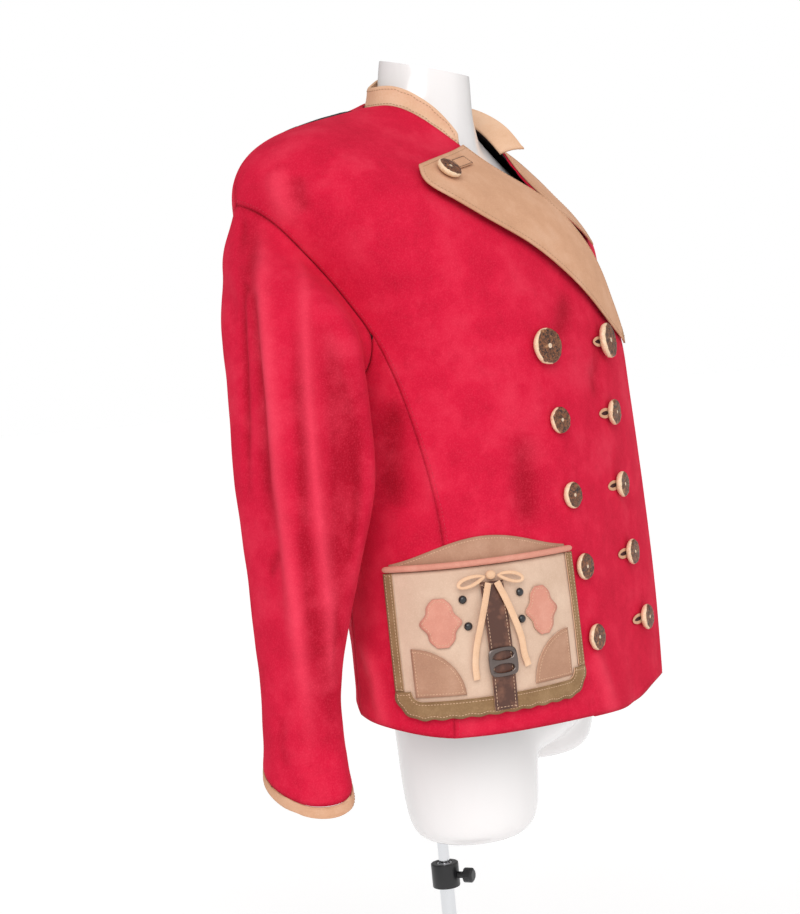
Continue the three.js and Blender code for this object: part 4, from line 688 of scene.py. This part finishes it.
def stitched(name, rows, thread, slot, length=0.0026, thick=0.0007, gap=0.0012):
    """Rows of spots and normals as thread: one small bead for each stitch."""
    beads = bmesh.new()
    for spots in rows:
        for (one, normal), (other, _) in zip(spots, spots[1:]):
            along = other - one
            if not 0.2 * (length + gap) < along.length < 2 * (length + gap):
                continue
            along.normalize()
            side = normal.cross(along).normalized()
            basis = Matrix((along * length / 2, side * thick / 2, normal * thick / 2)).transposed().to_4x4()
            basis.translation = one + normal * thick * 0.2
            bmesh.ops.create_uvsphere(beads, u_segments=6, v_segments=5, radius=1,
                                      matrix=basis @ Matrix.Rotation(math.pi / 2, 4, "Y"))
    bmesh.ops.recalc_face_normals(beads, faces=beads.faces)
    mesh = bpy.data.meshes.new(name)
    beads.to_mesh(mesh)
    beads.free()
    mesh.shade_smooth()
    return shown(name, mesh, slot, [], thread)


def thread_material(name, colour, dark):
    material = new_material(name, 0.7)
    tree = material.node_tree
    wave, place = tree.nodes.new("ShaderNodeTexNoise"), tree.nodes.new("ShaderNodeTexCoord")
    wave.inputs["Scale"].default_value = 900
    tree.links.new(place.outputs["Object"], wave.inputs["Vector"])
    twist = mixed(tree, wave.outputs["Fac"], dark, colour)
    tree.links.new(twist, tree.nodes["Principled BSDF"].inputs["Base Color"])
    return material


STITCH = 0.0038
tan_thread = thread_material("tan_thread", (0.55, 0.34, 0.2), (0.3, 0.17, 0.09))
red_thread = thread_material("red_thread", (0.75, 0.03, 0.08), (0.35, 0.004, 0.02))
peach_thread = thread_material("peach_thread", (0.85, 0.58, 0.4), (0.5, 0.3, 0.18))
stitched("collar_stitching", inset_line(sheets["collar"].data, 0.0045, STITCH), tan_thread, "collar_suede")
for half, side in HALVES:
    stitched(f"lapel_{half}_stitching", inset_line(sheets[f"lapel_{half}"].data, 0.005, STITCH),
             tan_thread, "tan_suede")
    stitched(f"cuff_{half}_stitching", inset_line(sheets[f"cuff_binding_{half}"].data, 0.0018, STITCH)[:1],
             tan_thread, "tan_suede")

# The armholes and the seams of the side panels are top-stitched in red on the body's side.
def beside(rows, names, within):
    """Only those spots of a row that lie near an edge of the named sheets."""
    lines = np.vstack([line for name in names for _, line in edge_lines(sheets[name].data)])
    tree = KDTree(len(lines))
    for i, point in enumerate(lines):
        tree.insert(point, i)
    tree.balance()
    return [[spot for spot in row if tree.find(spot[0])[2] < within] for row in rows]


TOPSTITCH_INSET = 0.0048
for panel, names in (("front_right", ("sleeve_right", "side_right")),
                     ("front_left", ("sleeve_left", "side_left")),
                     ("back", ("sleeve_right", "sleeve_left", "side_right", "side_left"))):
    rows = inset_line(sheets[panel].data, TOPSTITCH_INSET, STITCH)
    rows = beside(rows, names, TOPSTITCH_INSET + 0.004)
    stitched(panel + "_topstitching", rows, red_thread, "red_suede", thick=0.0006)

# ---- Buttons ----
# Slices cut across a deer's antler: dark ridged bark on top, a cream sawn edge and a
# pale pith in the middle. Each is sewn on through its pith with linen thread.
def antler_material():
    material = new_material("antler", 0.42)
    tree = material.node_tree
    shader = tree.nodes["Principled BSDF"]
    place = tree.nodes.new("ShaderNodeTexCoord")
    bark, pith = tree.nodes.new("ShaderNodeAttribute"), tree.nodes.new("ShaderNodeAttribute")
    bark.attribute_name, pith.attribute_name = "bark", "pith"
    streak, mottle = tree.nodes.new("ShaderNodeTexNoise"), tree.nodes.new("ShaderNodeTexNoise")
    streak.inputs["Scale"].default_value, streak.inputs["Detail"].default_value = 420, 6
    streak.inputs["Distortion"].default_value = 1.5
    mottle.inputs["Scale"].default_value, mottle.inputs["Detail"].default_value = 150, 4
    for cloud in (streak, mottle):
        tree.links.new(place.outputs["Object"], cloud.inputs["Vector"])

    lines, specks = streak.outputs["Fac"], mottle.outputs["Fac"]
    brown = mixed(tree, spread(tree, lines, 0.40, 0.60), (0.020, 0.006, 0.003), (0.24, 0.080, 0.028))
    brown = mixed(tree, spread(tree, specks, 0.60, 0.76), brown, (0.50, 0.24, 0.10))
    cream = mixed(tree, spread(tree, lines, 0.35, 0.7), (0.72, 0.46, 0.28), (0.86, 0.68, 0.48))
    frayed = tree.nodes.new("ShaderNodeMath")
    frayed.operation = "MULTIPLY_ADD"
    frayed.inputs[1].default_value = 1.2
    tree.links.new(specks, frayed.inputs[0])
    tree.links.new(bark.outputs["Fac"], frayed.inputs[2])
    whole = mixed(tree, spread(tree, frayed.outputs[0], 0.45, 0.75), cream, brown)
    whole = mixed(tree, spread(tree, pith.outputs["Fac"], -0.2, 0.2), whole, (0.80, 0.60, 0.44))
    tree.links.new(whole, shader.inputs["Base Color"])
    relief = tree.nodes.new("ShaderNodeBump")
    relief.inputs["Strength"].default_value, relief.inputs["Distance"].default_value = 0.6, 0.0006
    tree.links.new(lines, relief.inputs["Height"])
    tree.links.new(relief.outputs["Normal"], shader.inputs["Normal"])
    return material


antler = antler_material()
thread_ends = thread_material("linen_thread", (0.78, 0.66, 0.5), (0.45, 0.34, 0.24))
CHEST_MIDDLE = Vector((0, -0.09, 1.0))


def seat_of(node):
    """Where a flat node lies: its middle, its outward normal, half its width and its thickness."""
    plate = bmesh.new()
    plate.from_mesh(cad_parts[node].data)
    bmesh.ops.remove_doubles(plate, verts=plate.verts, dist=1e-5)
    normals = {}
    for face in plate.faces:
        key = tuple(round(part, 1) for part in face.normal)
        normals[key] = normals.get(key, Vector()) + face.normal * face.calc_area()
    normal = max(normals.values(), key=lambda total: total.length).normalized()
    centre = sum((vert.co for vert in plate.verts), Vector()) / len(plate.verts)
    away = centre - CHEST_MIDDLE
    if normal.dot(Vector((away.x, away.y, 0.2))) < 0:
        normal.negate()
    spots = [vert.co - centre for vert in plate.verts]
    thick = max(spot.dot(normal) for spot in spots) - min(spot.dot(normal) for spot in spots)
    wide = max((spot - normal * spot.dot(normal)).length for spot in spots)
    plate.free()
    return centre, normal, wide, thick


def laid_on(centre, normal, spin=0.0):
    side = Vector((0, 0, 1)).cross(normal).normalized()
    basis = Matrix((side, normal.cross(side), normal)).transposed().to_4x4()
    return Matrix.Translation(centre) @ basis @ Matrix.Rotation(spin, 4, "Z")


def antler_button(name, node, seed):
    centre, normal, wide, thick = seat_of(node)
    half = thick / 2
    disc = spun([(0, -half), (0.84 * wide, -half), (0.96 * wide, -0.5 * half), (wide, 0.1 * half),
                 (0.985 * wide, 0.5 * half), (0.93 * wide, 0.85 * half), (0.75 * wide, 0.97 * half),
                 (0.45 * wide, half), (0.2 * wide, half), (0, half)], 28, 0)
    bmesh.ops.subdivide_edges(disc, edges=disc.edges[:], cuts=1, use_grid_fill=True, smooth=0.2)
    side = 0.05 * noise.noise(Vector((seed, 2.0, 0.5))) + 0.12
    bark, pith = [], []
    for vert in disc.verts:
        way = math.atan2(vert.co.y, vert.co.x)
        out = math.hypot(vert.co.x, vert.co.y) / wide
        uneven = 0.05 * noise.noise(Vector((2 * math.cos(way), 2 * math.sin(way), seed)))
        rim = 1.10 + 1.5 * uneven - side * (1 + math.cos(way + seed - math.pi))
        high = vert.co.z > -0.4 * half
        bark.append(8 * (rim - out) if high else -4.0)
        pith.append(10 * (0.13 - out) if high else -4.0)
        vert.co.x *= 1 + uneven
        vert.co.y *= 1 - uneven
        ridge = noise.noise(Vector((vert.co.x / 0.004, vert.co.y / 0.0016, seed)))
        if high:
            vert.co.z += 0.0006 * ridge * (out > 0.15) - 0.08 * thick * max(0.0, out - 0.8)
    bmesh.ops.transform(disc, matrix=laid_on(centre, normal, seed), verts=disc.verts)
    mesh = finish_mesh(name, disc, 80)
    store(mesh, "bark", bark)
    store(mesh, "pith", pith)
    shown(name, mesh, "antler", [node], antler)
    knot = bmesh.new()
    for turned in (0.6, 2.2):
        bar = Matrix.Diagonal((0.0016, 0.0005, 0.0004, 1))
        seat = laid_on(centre + normal * (half + 0.0002), normal, seed + turned)
        bmesh.ops.create_uvsphere(knot, u_segments=10, v_segments=6, radius=1, matrix=seat @ bar)
    return shown(name + "_thread", finish_mesh(name + "_thread", knot), "antler", [], thread_ends)


for i in range(1, 6):
    antler_button(f"antler_button_right_{i}", f"button_right_{i}", 1.3 * i)
    antler_button(f"antler_button_left_{i}", f"button_left_{i}", 2.1 + 1.7 * i)
antler_button("antler_button_lapel", "button_lapel", 4.4)

# ---- Bound buttonholes ----
# Slits in the overlapping front, each bound with two lips of tan suede that part round
# the button's shank.
# Near-black colour for the painted shadow inside each buttonhole.
hole_dark = new_material("hole_shadow", 0.95, Base_Color=(0.05, 0.008, 0.01, 1))


def bound_hole(name, node, half_long, half_wide, slit):
    centre, normal, _, thick = seat_of(node)
    ring = bmesh.new()
    steps, loops = 40, []
    for i in range(steps):
        way = 2 * math.pi * i / steps
        lens = Vector((half_long * math.cos(way), half_wide * math.sin(way) * abs(math.sin(way)) ** 0.35, 0))
        loop = bmesh.ops.create_circle(ring, segments=10, radius=1)["verts"]
        along = Vector((-half_long * math.sin(way), half_wide * math.cos(way), 0)).normalized()
        side = Vector((0, 0, 1)).cross(along)
        basis = Matrix((side * slit, Vector((0, 0, thick * 0.55)), along)).transposed().to_4x4()
        basis.translation = lens
        bmesh.ops.transform(ring, matrix=basis, verts=loop)
        loops.append(dict.fromkeys(edge for vert in loop for edge in vert.link_edges))
    for one, other in zip(loops, loops[1:] + loops[:1]):
        bmesh.ops.bridge_loops(ring, edges=list(one | other))
    bmesh.ops.recalc_face_normals(ring, faces=ring.faces)
    bmesh.ops.transform(ring, matrix=laid_on(centre, normal), verts=ring.verts)
    shown(name, finish_mesh(name, ring), "tan_suede", [node], tan_suede)
    # A dark hollow sunk behind the slit is painted shadow for the slit's depth.
    shadow_well = bmesh.new()
    hollow = Matrix.Diagonal((half_long, half_wide * 0.8, thick * 0.25, 1))
    bmesh.ops.create_uvsphere(shadow_well, u_segments=24, v_segments=8, radius=1,
                              matrix=laid_on(centre - normal * thick * 0.3, normal) @ hollow)
    shown(name + "_slit_shadow", finish_mesh(name + "_slit_shadow", shadow_well), "tan_suede", [], hole_dark)


for i in range(1, 6):
    bound_hole(f"bound_buttonhole_{i}", f"buttonhole_{i}", 0.0135, 0.0036, 0.0016)

# The lapel's own buttonhole is a plain welted slit, stitched round with dark thread.
cloth = outer_cloth("buttonhole_lapel", 0.0014)
welt = worked(rounded("lapel_buttonhole_welt", cloth, 3), swell=0, seam=0.002, sink=0.0003)
piece = shown("lapel_buttonhole_welt", welt, "tan_suede", ["buttonhole_lapel"], tan_suede)
welt_piece = walled(piece, 0.0011)
dark_thread = thread_material("dark_thread", (0.16, 0.08, 0.05), (0.06, 0.03, 0.02))
stitched("lapel_buttonhole_stitching", inset_line(welt, 0.0012, 0.0022), dark_thread, "tan_suede",
         0.0019, 0.0007, 0.0004)

# ---- Hip pocket ----
# A patch pocket on the right hip, pieced from suedes of several colours. Cut edges are
# left raw and pale, and every piece is top-stitched close to its edge.
taupe_suede = suede("taupe_suede", (0.42, 0.23, 0.15), (0.34, 0.18, 0.12), (0.56, 0.34, 0.24), patch=45)
beige_suede = suede("beige_suede", (0.62, 0.44, 0.33), (0.52, 0.35, 0.25), (0.76, 0.58, 0.45), patch=30)
olive_suede = suede("olive_suede", (0.26, 0.155, 0.075), (0.18, 0.10, 0.05), (0.42, 0.27, 0.15), patch=60)
rose_suede = suede("rose_suede", (0.62, 0.27, 0.20), (0.5, 0.2, 0.15), (0.74, 0.4, 0.31), patch=50)
raw_edge = suede("raw_edge", (0.78, 0.48, 0.33), (0.68, 0.4, 0.26), (0.86, 0.6, 0.45), patch=90)
PATCHES = {
    "pocket_back_layer": ("taupe_suede", taupe_suede, 0.0028),
    "pocket_body": ("beige_suede", beige_suede, 0.0),
    "pocket_bottom_band": ("olive_suede", olive_suede, 0.0030),
    "pocket_binding_rear": ("olive_suede", olive_suede, 0.0020),
    "pocket_binding_front": ("olive_suede", olive_suede, 0.0020),
    "pocket_corner_rear": ("taupe_suede", taupe_suede, 0.0028),
    "pocket_corner_front": ("taupe_suede", taupe_suede, 0.0028),
    "pocket_leaf_rear": ("rose_suede", rose_suede, 0.0028),
    "pocket_leaf_front": ("rose_suede", rose_suede, 0.0028),
}
POCKET_WALL = 0.0016
for node, (slot, material, inset) in PATCHES.items():
    levels = 3 if node in ("pocket_body", "pocket_back_layer") else 2
    mesh = worked(rounded(node + "_patch", outer_cloth(node, POCKET_WALL), levels),
                  swell=0.0004, swell_size=0.04, seam=0.0016, sink=0.0003)
    sheets[node] = walled(shown(mesh.name, mesh, slot, [node], material, raw_edge), 0.0012, rim=1)
    if inset:
        stitched(node + "_stitching", inset_line(mesh, inset, 0.0030), peach_thread, slot,
                 0.0021, 0.0006, 0.0009)


def softened_solid(name, node, slot, material):
    """A whole solid with its facets rounded off, for rolled and moulded trim."""
    solid = bmesh.new()
    solid.from_mesh(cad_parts[node].data)
    bmesh.ops.remove_doubles(solid, verts=solid.verts, dist=1e-5)
    bmesh.ops.join_triangles(solid, faces=solid.faces, angle_face_threshold=math.radians(20),
                             angle_shape_threshold=math.radians(60))
    return shown(name, rounded(name, solid, 2), slot, [node], material)


softened_solid("pocket_mouth_piping", "pocket_mouth_roll", "rose_suede", rose_suede)

# The strap is of dark greased leather with pale burnished edges.
def leather(name, colour, worn):
    material = new_material(name, 0.4)
    tree = material.node_tree
    shader = tree.nodes["Principled BSDF"]
    place, pores, scuff, relief = (
        tree.nodes.new("ShaderNode" + kind) for kind in ("TexCoord", "TexVoronoi", "TexNoise", "Bump"))
    pores.inputs["Scale"].default_value, scuff.inputs["Scale"].default_value = 900, 90
    scuff.inputs["Detail"].default_value = 8
    relief.inputs["Strength"].default_value, relief.inputs["Distance"].default_value = 0.25, 0.0003
    for cloud in (pores, scuff):
        tree.links.new(place.outputs["Object"], cloud.inputs["Vector"])
    share = spread(tree, scuff.outputs["Fac"], 0.5, 0.75)
    tree.links.new(mixed(tree, share, colour, worn), shader.inputs["Base Color"])
    tree.links.new(pores.outputs["Distance"], relief.inputs["Height"])
    tree.links.new(relief.outputs["Normal"], shader.inputs["Normal"])
    return material


strap_leather = leather("strap_leather", (0.075, 0.025, 0.014), (0.2, 0.08, 0.045))
cloth = outer_cloth("pocket_strap", 0.0022)
mesh = worked(rounded("pocket_strap_band", cloth, 3), swell=0.0002, seam=0.0016, sink=0.0003)
piece = shown("pocket_strap_band", mesh, "strap_leather", ["pocket_strap"], strap_leather, raw_edge)
sheets["pocket_strap"] = walled(piece, 0.0018, rim=1)
stitched("pocket_strap_stitching", inset_line(mesh, 0.0026, 0.0034), peach_thread, "strap_leather",
         0.0024, 0.0006, 0.001)
burnished = new_material("burnished_steel", 0.28, Base_Color=(0.16, 0.13, 0.12, 1), Metallic=1.0)
black_steel = new_material("black_steel", 0.3, Base_Color=(0.012, 0.012, 0.014, 1), Coat_Weight=0.3)
softened_solid("pocket_buckle_frame", "pocket_buckle", "dark_steel", burnished)
for i in range(1, 5):
    softened_solid(f"lace_hook_{i}", f"pocket_lace_hook_{i}", "black_steel", black_steel)

# ---- Lace ends ----
# Two free ends of a flat suede lace, tied in a bow over the strap.
LACE_WIDTH, LACE_DEPTH = 0.0068, 0.0018
LACE_ROUTES = {
    "rear": (
        (-0.2127, -0.1764, 0.8349), (-0.2147, -0.1755, 0.8286), (-0.2166, -0.1745, 0.8223),
        (-0.2184, -0.1734, 0.8159), (-0.2201, -0.1720, 0.8092), (-0.2216, -0.1706, 0.8024),
        (-0.2228, -0.1690, 0.7958), (-0.2236, -0.1673, 0.7896), (-0.2242, -0.1656, 0.7836),
        (-0.2248, -0.1641, 0.7776), (-0.2255, -0.1631, 0.7718), (-0.2262, -0.1623, 0.7660),
        (-0.2266, -0.1618, 0.7604), (-0.2267, -0.1617, 0.7555), (-0.2266, -0.1618, 0.7510),
        (-0.2264, -0.1619, 0.7463)),
    "front": (
        (-0.2067, -0.1825, 0.8349), (-0.2054, -0.1850, 0.8282), (-0.2039, -0.1874, 0.8215),
        (-0.2024, -0.1895, 0.8148), (-0.2008, -0.1913, 0.8083), (-0.1992, -0.1928, 0.8019),
        (-0.1974, -0.1941, 0.7956), (-0.1954, -0.1950, 0.7898), (-0.1934, -0.1957, 0.7840),
        (-0.1919, -0.1962, 0.7784), (-0.1914, -0.1965, 0.7736), (-0.1913, -0.1967, 0.7689),
        (-0.1909, -0.1970, 0.7643), (-0.1901, -0.1975, 0.7602), (-0.1891, -0.1982, 0.7563),
        (-0.1881, -0.1988, 0.7523)),
}
lace_suede = suede("lace_suede", (0.74, 0.47, 0.3), (0.6, 0.36, 0.22), (0.85, 0.62, 0.45))


def flat_lace(route, wide, deep, away):
    """A flat strip swept along its route, its width square to the cloth below."""
    lace = bmesh.new()
    rings = []
    for i, spot in enumerate(route):
        spot = Vector(spot)
        along = (Vector(route[min(i + 1, len(route) - 1)]) - Vector(route[max(i - 1, 0)])).normalized()
        out = (away - along * away.dot(along)).normalized()
        side = along.cross(out)
        basis = Matrix((side * wide / 2, out * deep / 2, along)).transposed().to_4x4()
        basis.translation = spot
        ring = bmesh.ops.create_circle(lace, segments=12, radius=1, cap_ends=i in (0, len(route) - 1))
        bmesh.ops.transform(lace, matrix=basis, verts=ring["verts"])
        loop = [edge for vert in ring["verts"] for edge in vert.link_edges
                if all(end in ring["verts"] for end in edge.verts)]
        rings.append(list(dict.fromkeys(loop)))
    for one, other in zip(rings, rings[1:]):
        bmesh.ops.bridge_loops(lace, edges=one + other)
    bmesh.ops.recalc_face_normals(lace, faces=lace.faces)
    return lace


pocket_out = Vector((-0.62, -0.78, 0))
for end, route in LACE_ROUTES.items():
    strip = flat_lace(route, LACE_WIDTH, LACE_DEPTH, pocket_out)
    piece = shown(f"lace_end_{end}", finish_mesh(f"lace_end_{end}", strip), "lace_suede",
                  [f"pocket_lace_end_{end}"], lace_suede)

softened_solid("lace_knot", "pocket_lace_knot", "lace_suede", lace_suede)
for end in LACE_ROUTES:
    softened_solid(f"lace_loop_{end}", f"pocket_lace_loop_{end}", "lace_suede", lace_suede)
